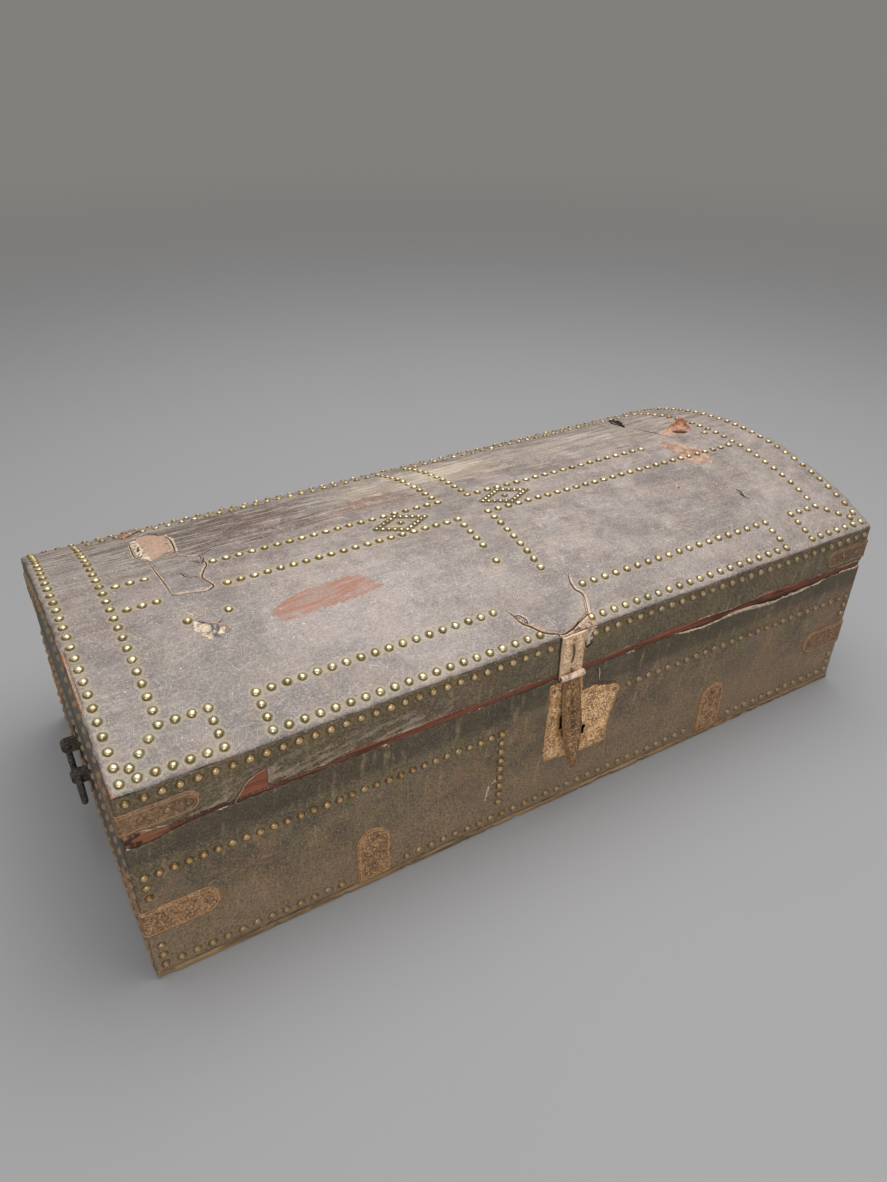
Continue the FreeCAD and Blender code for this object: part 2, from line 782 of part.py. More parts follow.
def draw_path(sketch, stops):
    """An open line of straight runs and arcs, each stop tied to expressions."""
    points = [FreeCAD.Vector(number(stop[0]), number(stop[1]), 0) for stop in stops]
    for index, stop in enumerate(stops[1:]):
        start, end = points[index], points[index + 1]
        if len(stop) == 2:
            sketch.addGeometry(Part.LineSegment(start, end))
        else:
            sketch.addGeometry(arc_of(start, end, number(stop[2][0]), stop[2][1]))
            rule = sketch.addConstraint(
                Sketcher.Constraint("Radius", index, number(stop[2][0])))
            bind(sketch, "Constraints[%d]" % rule, stop[2][0])
    for index in range(len(stops)):
        edge, end = (index, 1) if index < len(stops) - 1 else (index - 1, 2)
        if 0 < index < len(stops) - 1:
            sketch.addConstraint(Sketcher.Constraint("Coincident", index - 1, 2, index, 1))
        for kind, text in zip(("DistanceX", "DistanceY"), stops[index]):
            rule = sketch.addConstraint(
                Sketcher.Constraint(kind, -1, 1, edge, end, number(text)))
            bind(sketch, "Constraints[%d]" % rule, text)


def handle(name, side):
    """Two eyes and the round bail that hangs in them."""
    eyes = group(name + "_handle_eyes", [
        handle_eye("%s_eye_%s" % (name, spot), side, "%d * eye_place" % way)
        for spot, way in (("front", -1), ("back", 1))])
    body = new_body(name + "_handle_bail")
    spine = bail_path(body, side)
    profile = new_sketch(body, "Y", "-(bail_end)",
                         {"across": "%d * handle_line" % side, "up": "handle_level",
                          "radius": "bail_bar"})
    pipe = body.newObject("PartDesign::AdditivePipe", body.Name + "_pipe")
    pipe.Profile = profile
    pipe.Spine = spine
    body.Tip = pipe
    return [eyes, body]


# Nails. Their heads sit on the leather or iron, and their shanks go into the boards.

def nail_shape(head, rise, length):
    """A domed head, flat below, on a tapered shank, turned about Z with the seat at zero."""
    head, rise, shank, length = size(head), size(rise), size("nail_shank"), size(length)
    ball = (head * head + rise * rise) / (2 * rise)
    halfway = math.asin(head / ball) / 2
    middle = FreeCAD.Vector(ball * math.sin(halfway), 0,
                            rise - ball + ball * math.cos(halfway))
    point = FreeCAD.Vector(0, 0, -length)
    waist = FreeCAD.Vector(shank, 0, -length + 2 * shank)
    collar = FreeCAD.Vector(shank, 0, 0)
    brim = FreeCAD.Vector(head, 0, 0)
    crown = FreeCAD.Vector(0, 0, rise)
    edges = [Part.LineSegment(point, waist).toShape(), Part.LineSegment(waist, collar).toShape(),
             Part.LineSegment(collar, brim).toShape(), Part.Arc(brim, middle, crown).toShape(),
             Part.LineSegment(crown, point).toShape()]
    return Part.Face(Part.Wire(edges)).revolve(
        FreeCAD.Vector(0, 0, 0), FreeCAD.Vector(0, 0, 1), 360)


def on_dome(along, over):
    """The seat and outward way of a nail on the dome; over is arc length from the crest."""
    radius, centre = size("dome_radius"), size("dome_centre")
    angle = over / radius
    out = FreeCAD.Vector(0, math.sin(angle), math.cos(angle))
    return FreeCAD.Vector(along, 0, centre) + out * radius, out


def on_wall(side, lift=0):
    """A function that seats nails on an upright side, at a height above its leather."""
    away = {"front": (0, -1), "back": (0, 1), "left": (-1, 0), "right": (1, 0)}[side]
    out = FreeCAD.Vector(away[0], away[1], 0)

    def seat(across, up):
        if away[0]:
            return FreeCAD.Vector(away[0] * (size("half_length") + lift), across, up), out
        return FreeCAD.Vector(across, away[1] * (size("half_depth") + lift), up), out
    return seat


def run(start, end, pitch):
    """Evenly spaced places from one point to another, both included."""
    (x0, y0), (x1, y1) = start, end
    length = math.hypot(x1 - x0, y1 - y0)
    steps = max(1, round(length / pitch))
    return [(x0 + (x1 - x0) * step / steps, y0 + (y1 - y0) * step / steps)
            for step in range(steps + 1)]


def keep_clear(places, zones, margin):
    """The places that lie outside every zone, each zone a rectangle from low to high."""
    def is_clear(spot):
        return not any(low[0] - margin < spot[0] < high[0] + margin
                       and low[1] - margin < spot[1] < high[1] + margin for low, high in zones)
    return [spot for spot in places if is_clear(spot)]


def drive(shape, spots, taken, room):
    """Nails at seats and outward ways, leaving out any that would touch one already there."""
    made = []
    for seat, out in spots:
        if all((seat - other).Length > room for other in taken):
            taken.append(seat)
            nail = shape.copy()
            nail.Placement = FreeCAD.Placement(
                seat, FreeCAD.Rotation(FreeCAD.Vector(0, 0, 1), out))
            made.append(nail)
    return made


def nail_group(label, nails):
    """A node that holds a group of like nails."""
    made = doc.addObject("Part::Feature", label)
    made.Shape = Part.makeCompound(nails)
    return made


def dome_nails():
    """Rows on the dome: the borders, the mitred columns and panels, the crest and cross rows,
    two single nails, and two diamonds of small nails."""
    half, pitch = size("half_length"), size("nail_pitch")
    arc = size("dome_radius") * math.asin(size("half_depth") / size("dome_radius"))
    end, edge = half - size("border_inset"), arc - size("border_inset")
    column, panel_row = half - size("column_inset"), arc - size("panel_row_inset")
    square, panel = half - size("square_inset"), half - size("panel_inset")
    crest_back = size("crest_row_gap") / 2 - size("crest_row_shift")
    crest_front = -size("crest_row_gap") / 2 - size("crest_row_shift")
    cross_left = -size("cross_row_gap") / 2 - size("cross_row_shift")
    cross_right = size("cross_row_gap") / 2 - size("cross_row_shift")
    cross_end = -panel_row + size("cross_end_gap")

    border = run((-end, edge), (end, edge), pitch)
    field = []
    for way, name in ((-1, "left"), (1, "right")):
        border_end = way * size("border_end_" + name)
        panel_end = way * size("panel_end_" + name)
        border += run((way * end, -edge), (way * square, -edge), pitch)
        border += run((way * panel, -edge), (border_end, -edge), pitch)
        border += run((way * end, -edge), (way * end, edge), pitch)
        field += run((way * end, -edge), (way * column, -panel_row), pitch)
        field += run((way * column, -panel_row), (way * column, panel_row), pitch)
        field += run((way * column, -panel_row), (way * square, -panel_row), pitch)
        field += run((way * square, -panel_row), (way * square, -edge), pitch)
        field += run((way * panel, -edge), (way * panel, -panel_row), pitch)
        field += run((way * panel, -panel_row), (panel_end, -panel_row), pitch)
    field += run((-column, panel_row), (cross_left, panel_row), pitch)
    field += run((cross_right, panel_row), (column, panel_row), pitch)
    field += [(-size(spot), -size("single_front")) for spot in ("single_near", "single_far")]

    crest_pitch = size("crest_pitch")
    crest = []
    for row in (crest_back, crest_front):
        crest += run((-column, row), (cross_left, row), crest_pitch)
        crest += run((cross_right, row), (column, row), crest_pitch)
    for line in (cross_left, cross_right):
        crest += run((line, panel_row), (line, crest_back), crest_pitch)
        crest += run((line, crest_front), (line, cross_end), crest_pitch)
    over, beside = size("lost_over"), cross_left + size("cross_row_shift")
    lost = [((-size("lost_left_far"), -over), (-size("lost_left_near"), over)),
            ((size("lost_right_near"), -size("lost_right_front")),
             (size("lost_right_far"), over)),
            ((-half, -size("lost_cross_far")), (beside, -size("lost_cross_near"))),
            ((-half, -arc), (beside, -size("lost_cross_end")))]
    crest = keep_clear(crest, lost, 0)

    diamonds = []
    middle = -size("crest_row_shift")
    reach, side = size("motif_reach"), size("motif_side")
    for spot in (-size("motif_left"), size("motif_right")):
        corners = [(spot - reach, middle), (spot, middle + side),
                   (spot + reach, middle), (spot, middle - side)]
        for start, stop in zip(corners, corners[1:] + corners[:1]):
            diamonds += run(start, stop, size("small_pitch"))
        diamonds.append((spot, middle))

    large = nail_shape("nail_head", "nail_rise", "nail_length")
    small = nail_shape("small_head", "small_rise", "nail_length")
    taken, room = [], 2 * size("nail_head") + size("touch_gap")
    groups = [("lid_border_nails", border), ("lid_field_nails", field),
              ("lid_crest_nails", crest)]
    made = [nail_group(label, drive(large, [on_dome(*spot) for spot in places], taken, room))
            for label, places in groups]
    near = size("nail_head") + size("small_head") + size("touch_gap")
    spots = [(seat, out) for seat, out in [on_dome(*spot) for spot in diamonds]
             if all((seat - other).Length > near for other in taken)]
    made.append(nail_group("lid_small_nails", drive(
        small, spots, [], 2 * size("small_head") + size("touch_gap"))))
    return made


def centred(x, y, width, height):
    """A rectangle about a point, as its low and high corners."""
    return (x - width / 2, y - height / 2), (x + width / 2, y + height / 2)


def wall_zones():
    """The rectangles that the iron covers on each side of the body and of the lid."""
    half_length, half_depth = size("half_length"), size("half_depth")
    base, wrap = size("lid_base"), size("strap_iron")
    zones = {"body": {}, "lid": {}}
    for part, reach, width, level in (
            ("body", size("body_strap_reach"), size("body_strap_width"),
             size("body_strap_level")),
            ("lid", size("lid_strap_reach"), size("lid_strap_width"),
             base + size("lid_strap_rise"))):
        for side, corner in (("long", half_length), ("end", half_depth + wrap)):
            zones[part][side] = [
                centred(way * (corner - reach / 2), level, reach, width) for way in (-1, 1)]
    foot = [centred(way * size("foot_strap_place"),
                    size("floor_board") + size("foot_strap_height") / 2,
                    size("foot_strap_width"), size("foot_strap_height")) for way in (-1, 1)]
    plate = [((-size("lock_left"), size("lock_plate_base")),
              (size("lock_plate_width") - size("lock_left"),
               size("lock_plate_base") + size("lock_plate_height")))]
    line = size("hinge_line_z")
    leaves = {}
    for part, height in (("body", -size("body_leaf_height")), ("lid", size("lid_leaf_height"))):
        leaves[part] = [centred(way * size("foot_strap_place"), line + height / 2,
                                size("hinge_width"), abs(height)) for way in (-1, 1)]
    eyes = [centred(way * size("eye_place"), size("handle_level"),
                    size("eye_plate_width"), size("eye_plate_height")) for way in (-1, 1)]
    return {
        "body_front": zones["body"]["long"] + foot + plate,
        "body_back": zones["body"]["long"] + leaves["body"],
        "body_end": zones["body"]["end"] + eyes,
        "lid_front": zones["lid"]["long"],
        "lid_back": zones["lid"]["long"] + leaves["lid"],
        "lid_end": zones["lid"]["end"],
    }


def wall_nails():
    """Brass nails on the sides of the lid and of the body."""
    zones = wall_zones()
    margin = size("nail_head") + size("touch_gap")
    pitch, body_pitch = size("nail_pitch"), size("body_pitch")
    half_length = size("half_length") - size("border_inset")
    half_depth = size("half_depth") - size("border_inset")
    high, low = size("upper_row_level"), size("lower_row_level")
    edge = size("lid_edge") - size("border_inset")
    large = nail_shape("nail_head", "nail_rise", "nail_length")
    room = 2 * size("nail_head") + size("touch_gap")

    def on_sides(rows):
        spots = []
        for side, zone, places in rows:
            seat = on_wall(side)
            spots += [seat(*spot) for spot in keep_clear(places, zones[zone], margin)]
        return drive(large, spots, [], room)

    arc_radius = size("dome_radius") - size("end_row_inset")
    reach = math.asin(half_depth / arc_radius)
    steps = round(2 * reach * arc_radius / pitch)
    angles = [reach * (2 * step / steps - 1) for step in range(steps + 1)]
    end_arc = [(arc_radius * math.sin(angle), size("dome_centre") + arc_radius * math.cos(angle))
               for angle in angles]
    back_row = run((-half_length, edge), (half_length, edge), pitch)
    front_row = (run((-half_length, edge), (-size("flange_end_left"), edge), pitch)
                 + run((size("border_end_right"), edge), (half_length, edge), pitch))
    lid_edge = on_sides([("front", "lid_front", front_row), ("back", "lid_back", back_row),
                         ("left", "lid_end", end_arc), ("right", "lid_end", end_arc)])

    stop, restart = -size("front_column_left"), size("front_row_right")
    front = (run((-half_length, high), (stop, high), body_pitch)
             + run((stop, high), (stop, size("front_column_base")), body_pitch)
             + run((restart, high), (half_length, high), size("crest_pitch")))
    base_row = run((-half_length, low), (half_length, low), pitch)
    columns = []
    for way in (-1, 1):
        columns += run((way * half_length, high), (way * half_length, low), body_pitch)
    back = run((-half_length, high), (half_length, high), body_pitch) + base_row + columns
    end = []
    for level in (high, low):
        end += run((-half_depth, level), (half_depth, level), pitch)
    for way in (-1, 1):
        end += run((way * half_depth, high), (way * half_depth, low), body_pitch)
    return [
        nail_group("lid_edge_nails", lid_edge),
        nail_group("body_front_nails", on_sides([("front", "body_front",
                                                  front + base_row + columns)])),
        nail_group("body_back_nails", on_sides([("back", "body_back", back)])),
        nail_group("body_end_nails", on_sides([("left", "body_end", end),
                                               ("right", "body_end", end)])),
    ]


# Shares of a strap's reach or height at which its iron nails stand
STRAP_NAIL_SHARES = (0.26, 0.58, 0.84)
LEAF_NAIL_SHARES = (0.32, 0.78)
EYE_NAIL_SHARE = 0.38


def iron_nails():
    """Low iron nails through the straps, hinge leaves, hasp leaf, lock plate and eyes."""
    shape = nail_shape("iron_head", "iron_rise", "nail_length")
    lid, body = [], []
    strap, hinge = size("strap_iron"), size("hinge_iron")
    for spots, reach, level in (
            (lid, size("lid_strap_reach"), size("lid_base") + size("lid_strap_rise")),
            (body, size("body_strap_reach"), size("body_strap_level"))):
        for way in (-1, 1):
            for share in STRAP_NAIL_SHARES:
                along = way * (size("half_length") - reach * share)
                deep = way * (size("half_depth") + strap - reach * share)
                for side in ("front", "back"):
                    spots.append(on_wall(side, strap)(along, level))
                for side in ("left", "right"):
                    spots.append(on_wall(side, strap)(deep, level))
    for way in (-1, 1):
        place_x = way * size("foot_strap_place")
        for share in STRAP_NAIL_SHARES:
            up = size("floor_board") + size("foot_strap_height") * share
            body.append(on_wall("front", strap)(place_x, up))
        for share in LEAF_NAIL_SHARES:
            lid.append(on_wall("back", hinge)(
                place_x, size("hinge_line_z") + size("lid_leaf_height") * share))
        for share in STRAP_NAIL_SHARES:
            body.append(on_wall("back", hinge)(
                place_x, size("hinge_line_z") - size("body_leaf_height") * share))
        for side in ("left", "right"):
            for up in (-1, 1):
                level = size("handle_level") + up * size("eye_plate_height") * EYE_NAIL_SHARE
                body.append(on_wall(side, size("eye_plate_iron"))(
                    way * size("eye_place"), level))
    leaf_middle = size("hasp_place")
    slot_top = size("hasp_slot_rise") + size("hasp_slot_height")
    for rise in (size("hasp_slot_rise") / 2,
                 (slot_top + size("hasp_leaf_height")) / 2):
        lid.append(on_wall("front", size("hasp_iron"))(
            leaf_middle, size("hasp_line_z") + rise))
    for share in PLATE_NAIL_SHARES:
        across, up = on_plate(*share)
        body.append(on_wall("front", size("lock_iron"))(number(across), number(up)))
    room = 2 * size("iron_head")
    return [nail_group("lid_iron_nails", drive(shape, lid, [], room)),
            nail_group("body_iron_nails", drive(shape, body, [], room))]


nodes = (body_walls() + body_hides() + lid_frame() + lid_planks() + lid_hides()
         + corner_straps() + foot_straps() + back_hinges() + hasp() + lock()
         + handle("left", -1) + handle("right", 1)
         + dome_nails() + wall_nails() + iron_nails())
doc.recompute()

# Nothing is written unless every object and every sub-part is sound
for thing in doc.Objects:
    if "Invalid" in thing.State or "Error" in thing.State:
        raise RuntimeError("%s did not build: %s" % (thing.Label, thing.State))
for node in nodes:
    if node.Shape.isNull() or not node.Shape.isValid() or not node.Shape.Solids:
        raise RuntimeError("%s has no sound solid" % node.Label)

os.makedirs("parts", exist_ok=True)
for node in nodes:
    node.Shape.exportStep(os.path.join("parts", node.Label + ".step"))
print("%d nodes, %d solids" % (len(nodes), sum(len(node.Shape.Solids) for node in nodes)))
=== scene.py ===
"""Dresses the studded trunk: worn leather, domed nails, rusted straps, lock, hasp and bare wood.

Pieces are worked out on flat sheets. Each face of the trunk has a sheet with three measures:
across, up, and out from the surface of the leather, all in metres. A seat function turns these
into places in the model's frame. Wear is listed in millimetres on the same sheets.
"""

import math

import bpy
import numpy as np
from mathutils import Matrix, Vector


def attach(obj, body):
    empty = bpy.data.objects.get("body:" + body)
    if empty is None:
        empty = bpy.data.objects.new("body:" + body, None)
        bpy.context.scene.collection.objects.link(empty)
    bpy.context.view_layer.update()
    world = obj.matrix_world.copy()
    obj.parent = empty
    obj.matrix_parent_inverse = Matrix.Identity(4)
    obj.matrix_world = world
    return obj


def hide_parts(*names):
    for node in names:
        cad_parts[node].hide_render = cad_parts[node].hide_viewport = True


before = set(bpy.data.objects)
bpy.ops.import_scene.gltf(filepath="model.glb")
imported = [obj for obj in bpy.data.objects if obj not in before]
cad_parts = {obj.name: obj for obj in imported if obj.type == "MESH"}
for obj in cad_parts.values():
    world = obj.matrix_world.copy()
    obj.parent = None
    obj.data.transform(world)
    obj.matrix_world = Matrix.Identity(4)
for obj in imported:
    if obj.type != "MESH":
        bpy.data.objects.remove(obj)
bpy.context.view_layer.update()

bl_info = {
    "name": "Studded Trunk",
    "version": (1, 0, 0),
    "blender": (4, 5, 0),
    "location": "3D View > Sidebar > Trunk",
    "description": "Builds the leather, nails, iron and wood of a studded trunk on its frame",
    "category": "Object",
}

MM = 0.001


def node_points(node):
    """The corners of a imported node's triangles, in metres."""
    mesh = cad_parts[node].data
    points = np.empty(len(mesh.vertices) * 3, np.float32)
    mesh.vertices.foreach_get("co", points)
    return points.reshape(-1, 3).astype(float)


def extent(node):
    """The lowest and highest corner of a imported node."""
    points = node_points(node)
    return points.min(0), points.max(0)


# Sizes taken from the frame

TOP_LOW, TOP_HIGH = extent("lid_top_leather")
HALF_LENGTH, HALF_DEPTH, CREST = TOP_HIGH
LEATHER = np.ptp([corner[0] for corner in extent("lid_left_leather")])
SAG = CREST - TOP_LOW[2]
DOME_RADIUS = (SAG ** 2 + HALF_DEPTH ** 2 - LEATHER ** 2) / (2 * (SAG - LEATHER))
DOME_CENTRE = CREST - DOME_RADIUS
HALF_ARC = DOME_RADIUS * math.asin(HALF_DEPTH / DOME_RADIUS)
FLOOR_TOP = extent("floor_board")[1][2]
LID_BASE = extent("lid_front_leather")[0][2]
LID_EDGE = DOME_CENTRE + math.sqrt(DOME_RADIUS ** 2 - HALF_DEPTH ** 2)
BODY_TOP = extent("front_leather")[1][2]
SEAM = extent("back_leather")[1][2]
STRAP_IRON = extent("left_foot_strap")[1][1] - extent("left_foot_strap")[0][1]
LOCK_IRON = extent("lock_plate")[1][1] - extent("lock_plate")[0][1]
PIN_LOW, PIN_HIGH = extent("hasp_pin")
PIN_RADIUS = (PIN_HIGH[2] - PIN_LOW[2]) / 2
HASP_PLACE, HASP_LINE_Y, HASP_LINE_Z = (PIN_LOW + PIN_HIGH) / 2
HASP_HALF_WIDTH = (PIN_HIGH[0] - PIN_LOW[0]) / 2


# Flat sheets and where they sit

def points_at(x, y, z):
    """Points from their three coordinates."""
    return np.stack(np.broadcast_arrays(x, y, z), -1)


def on_dome(across, up, out):
    """Across is x. Up is the arc from the crest, so a point turns about the dome's centre line by
    up over the radius, at the radius plus out."""
    angle, reach = up / DOME_RADIUS, DOME_RADIUS + out
    return points_at(across, reach * np.sin(angle), DOME_CENTRE + reach * np.cos(angle))


def on_front(across, up, out):
    """Across is x, up is z, and out is towards -y."""
    return points_at(across, -HALF_DEPTH - out, up)


def on_back(across, up, out):
    """Across is x, up is z, and out is towards +y."""
    return points_at(across, HALF_DEPTH + out, up)


def on_left(across, up, out):
    """Across is y, up is z, and out is towards -x."""
    return points_at(-HALF_LENGTH - out, across, up)


def on_right(across, up, out):
    """Across is y, up is z, and out is towards +x."""
    return points_at(HALF_LENGTH + out, across, up)


SEATS = {"dome": on_dome, "front": on_front, "back": on_back, "left": on_left, "right": on_right}


def round_corner(side, face, bend):
    """A seat round an upright corner. Across runs from the front or back wall, below zero, to the
    end wall, above zero, with a quarter turn of the bend radius between them."""
    quarter = bend * math.pi / 4

    def seat(across, up, out):
        along_wall = np.clip(-across - quarter, 0, None)
        along_end = np.clip(across - quarter, 0, None)
        turn = (np.clip(across, -quarter, quarter) + quarter) / bend
        x = side * (HALF_LENGTH - bend - along_wall + (bend + out) * np.sin(turn))
        y = face * (HALF_DEPTH - bend - along_end + (bend + out) * np.cos(turn))
        return points_at(x, y, up)
    return seat


# Noise and distances on a sheet

LATTICE = 256
SPOT_REACH = 20 * MM


def noise(across, up, size, seed, octaves=3):
    """Smooth noise of about -1 to 1: random values on a square lattice, eased between by a smooth
    step, each octave half the size and half the height of the last."""
    total, height = 0, 1
    for octave in range(octaves):
        values = np.random.default_rng(seed * 31 + octave).uniform(-1, 1, (LATTICE, LATTICE))
        x, y = across * 2 ** octave / size + 71.3, up * 2 ** octave / size + 37.7
        left, low = np.floor(x).astype(int), np.floor(y).astype(int)
        right_share, up_share = x - left, y - low
        right_share = right_share ** 2 * (3 - 2 * right_share)
        up_share = up_share ** 2 * (3 - 2 * up_share)
        left, low, right, high = (part % LATTICE for part in (left, low, left + 1, low + 1))
        below = values[left, low] * (1 - right_share) + values[right, low] * right_share
        above = values[left, high] * (1 - right_share) + values[right, high] * right_share
        total = total + height * (below * (1 - up_share) + above * up_share)
        height /= 2
    return total


def step(value, low, high):
    """A smooth step from 0 at low to 1 at high."""
    share = np.clip((value - low) / (high - low), 0, 1)
    return share ** 2 * (3 - 2 * share)


def run_gap(x, y, start, end):
    """How far points are from a straight run, and the share of it that each is level with."""
    run_x, run_y = end[0] - start[0], end[1] - start[1]
    share = ((x - start[0]) * run_x + (y - start[1]) * run_y) / (run_x ** 2 + run_y ** 2)
    share = np.clip(share, 0, 1)
    return np.hypot(x - start[0] - share * run_x, y - start[1] - share * run_y), share


def line_distance(across, up, path):
    """The distance from each point to an open line of straight runs."""
    return np.minimum.reduce([run_gap(across, up, *run)[0] for run in zip(path, path[1:])])


def depth_in(across, up, outline):
    """The distance to a closed outline, above zero inside it: a point is inside if a line to the
    right of it crosses the outline an odd number of times."""
    inside = np.zeros(np.shape(across), bool)
    for (x0, y0), (x1, y1) in zip(outline, outline[1:] + outline[:1]):
        rise = y1 - y0 if y1 != y0 else np.inf
        inside ^= ((y0 > up) != (y1 > up)) & (across < x0 + (up - y0) * (x1 - x0) / rise)
    distance = line_distance(across, up, outline + outline[:1])
    return np.where(inside, distance, -distance)


def in_metres(points):
    """A list of points in millimetres, in metres."""
    return [(x * MM, y * MM) for x, y in points]


def nearest_spot(across, up, spots):
    """The distance from each point to the nearest of some spots, up to the spots' reach. They are
    taken a few at a time, to save memory."""
    nearest = np.full(np.shape(across), SPOT_REACH)
    for some in np.array_split(spots, max(1, len(spots) // 24)):
        gaps = np.hypot(across[..., None] - some[:, 0], up[..., None] - some[:, 1])
        if len(some):
            nearest = np.minimum(nearest, gaps.min(-1))
    return nearest


def spaced(low, high, pitch, fine_pitch=None, fine=()):
    """Places from low to high, about a pitch apart, and closer together in the fine stretches:
    the density is added up along the line, and places are read at even steps of that sum."""
    line = np.linspace(low, high, 4001)
    density = np.full(line.shape, 1 / pitch)
    for start, end in fine:
        density[(line > start) & (line < end)] = 1 / fine_pitch
    total = np.concatenate([[0], np.cumsum((density[1:] + density[:-1]) / 2 * np.diff(line))])
    return np.interp(np.linspace(0, total[-1], int(round(total[-1])) + 1), total, line)


# Solids: points, lists of face arrays, and marks that are kept for each point

def outward(points, faces, marks=None):
    """A closed solid with its faces outward: they are turned if the volume comes out negative,
    as the sum over fans of the triple product of their corners."""
    volume = 0
    for face in faces:
        first = points[face[:, 0]]
        for second, third in zip(face.T[1:], face.T[2:]):
            volume += np.einsum("ij,ij->", first, np.cross(points[second], points[third]))
    if volume < 0:
        faces = [face[:, ::-1] for face in faces]
    return points, faces, marks or {}


def joined(solids):
    """Several solids as one."""
    points, faces, count = [], [], 0
    names = {name for solid in solids for name in solid[2]}
    marks = {name: [] for name in names}
    for some_points, some_faces, some_marks in solids:
        points.append(some_points)
        faces += [face + count for face in some_faces]
        count += len(some_points)
        for name in names:
            marks[name].append(some_marks.get(name, np.zeros(len(some_points))))
    return np.concatenate(points), faces, {name: np.concatenate(marks[name]) for name in names}


def closed_sheet(seat, across, up, out, back, marks=None):
    """A sheet on a grid of places. Its rim goes straight down to the back level, and strips from
    side to side close it below, so it bends along up only."""
    columns, rows = across.shape
    index = np.arange(columns * rows).reshape(columns, rows)
    quads = np.stack([index[:-1, :-1], index[1:, :-1], index[1:, 1:], index[:-1, 1:]], -1)
    rim = np.concatenate([index[:, 0], index[-1, 1:], index[-2::-1, -1], index[0, -2:0:-1]])
    under = np.full(columns * rows, -1)
    under[rim] = columns * rows + np.arange(len(rim))
    rim_next = np.roll(rim, -1)
    walls = np.stack([rim_next, rim, under[rim], under[rim_next]], -1)
    left, right = under[index[0]], under[index[-1]]
    strips = np.stack([left[1:-2], left[2:-1], right[2:-1], right[1:-2]], -1)
    first = np.concatenate([[left[1], right[1]], under[index[::-1, 0]]])[None]
    last = np.concatenate([under[index[:, -1]], [right[-2], left[-2]]])[None]
    flat_across, flat_up = across.ravel(), up.ravel()
    points = np.concatenate([seat(flat_across, flat_up, out.ravel()),
                             seat(flat_across[rim], flat_up[rim], back)])
    kept = {name: np.concatenate([mark.ravel(), mark.ravel()[rim]])
            for name, mark in (marks or {}).items()}
    return outward(points, [quads.reshape(-1, 4), walls, strips, first, last], kept)


def cut_plate(seat, keep, across, up, top, back, marks=None):
    """A closed plate cut from a grid where keep is above zero. Along each grid edge where keep
    changes sign a corner is set where it is zero. Each cell's face joins its inside corners and
    its crossings in turn. The face below is the same, turned over, and walls join the rims.
    top, back and the marks are functions of across, up and keep at those corners."""
    grid_across, grid_up = np.meshgrid(across, up, indexing="ij")
    keep = keep(grid_across, grid_up)
    inside = keep > 0

    def crossing(low, high):
        share = np.clip(keep[low] / (keep[low] - keep[high] + 1e-12), 0.05, 0.95)
        return [grid[low] + share * (grid[high] - grid[low]) for grid in (grid_across, grid_up)]

    along = inside[:-1] != inside[1:]
    upward = inside[:, :-1] != inside[:, 1:]
    along_low = np.nonzero(along)
    upward_low = np.nonzero(upward)
    spots = [
        (grid_across[inside], grid_up[inside]),
        crossing(along_low, (along_low[0] + 1, along_low[1])),
        crossing(upward_low, (upward_low[0], upward_low[1] + 1))]
    counts = [len(spot[0]) for spot in spots]
    corner, edge, post = (np.full(shape, -1) for shape in
                          (inside.shape, along.shape, upward.shape))
    corner[inside] = np.arange(counts[0])
    edge[along] = counts[0] + np.arange(counts[1])
    post[upward] = counts[0] + counts[1] + np.arange(counts[2])
    ring = np.stack([corner[:-1, :-1], edge[:, :-1], corner[1:, :-1], post[1:],
                     corner[1:, 1:], edge[:, 1:], corner[:-1, 1:], post[:-1]], -1)
    ring = ring.reshape(-1, 8)
    known = ring >= 0
    sizes = known.sum(1)
    faces = [ring[sizes == size][known[sizes == size]].reshape(-1, size)
             for size in range(3, 9) if (sizes == size).any()]

    flat_across, flat_up = (np.concatenate([spot[part] for spot in spots]) for part in (0, 1))
    depth = np.concatenate([keep[inside], np.zeros(counts[1] + counts[2])])
    total = len(flat_across)
    starts = np.concatenate([face.ravel() for face in faces])
    ends = np.concatenate([np.roll(face, -1, 1).ravel() for face in faces])
    lone = ~np.isin(starts * total + ends, ends * total + starts)
    walls = np.stack([ends[lone], starts[lone], starts[lone] + total, ends[lone] + total], -1)
    points = np.concatenate([seat(flat_across, flat_up, level(flat_across, flat_up, depth))
                             for level in (top, back)])
    kept = {name: np.tile(mark(flat_across, flat_up, depth), 2)
            for name, mark in (marks or {}).items()}
    return outward(points, faces + [face[:, ::-1] + total for face in faces] + [walls], kept)


def swept(rings, caps=True):
    """A tube through an array of rings of points, steps by sides, closed by a face at each end."""
    steps, sides = rings.shape[:2]
    index = np.arange(steps * sides).reshape(steps, sides)
    turned = np.roll(index, -1, 1)
    quads = np.stack([index[:-1], index[1:], turned[1:], turned[:-1]], -1).reshape(-1, 4)
    faces = [quads] + ([index[:1], index[-1:, ::-1]] if caps else [])
    return outward(rings.reshape(-1, 3), faces)


def eased_line(points, pitch):
    """A smooth line through points, in places about a pitch apart: between two points it is a
    cubic whose slope at each is half the way between its neighbours."""
    points = np.array(points, float)
    ends = np.concatenate([2 * points[:1] - points[1:2], points, 2 * points[-1:] - points[-2:-1]])
    share = np.linspace(0, 1, 12, endpoint=False)[:, None, None]
    a, b, c, d = ends[:-3], ends[1:-2], ends[2:-1], ends[3:]
    curve = (2 * b + (c - a) * share + (2 * a - 5 * b + 4 * c - d) * share ** 2
             + (3 * b - a - 3 * c + d) * share ** 3) / 2
    curve = np.concatenate([curve.transpose(1, 0, 2).reshape(-1, points.shape[1]), points[-1:]])
    travel = np.concatenate([[0], np.cumsum(np.linalg.norm(np.diff(curve, axis=0), axis=1))])
    places = np.linspace(0, travel[-1], max(3, int(travel[-1] / pitch) + 1))
    return np.stack([np.interp(places, travel, column) for column in curve.T], -1)


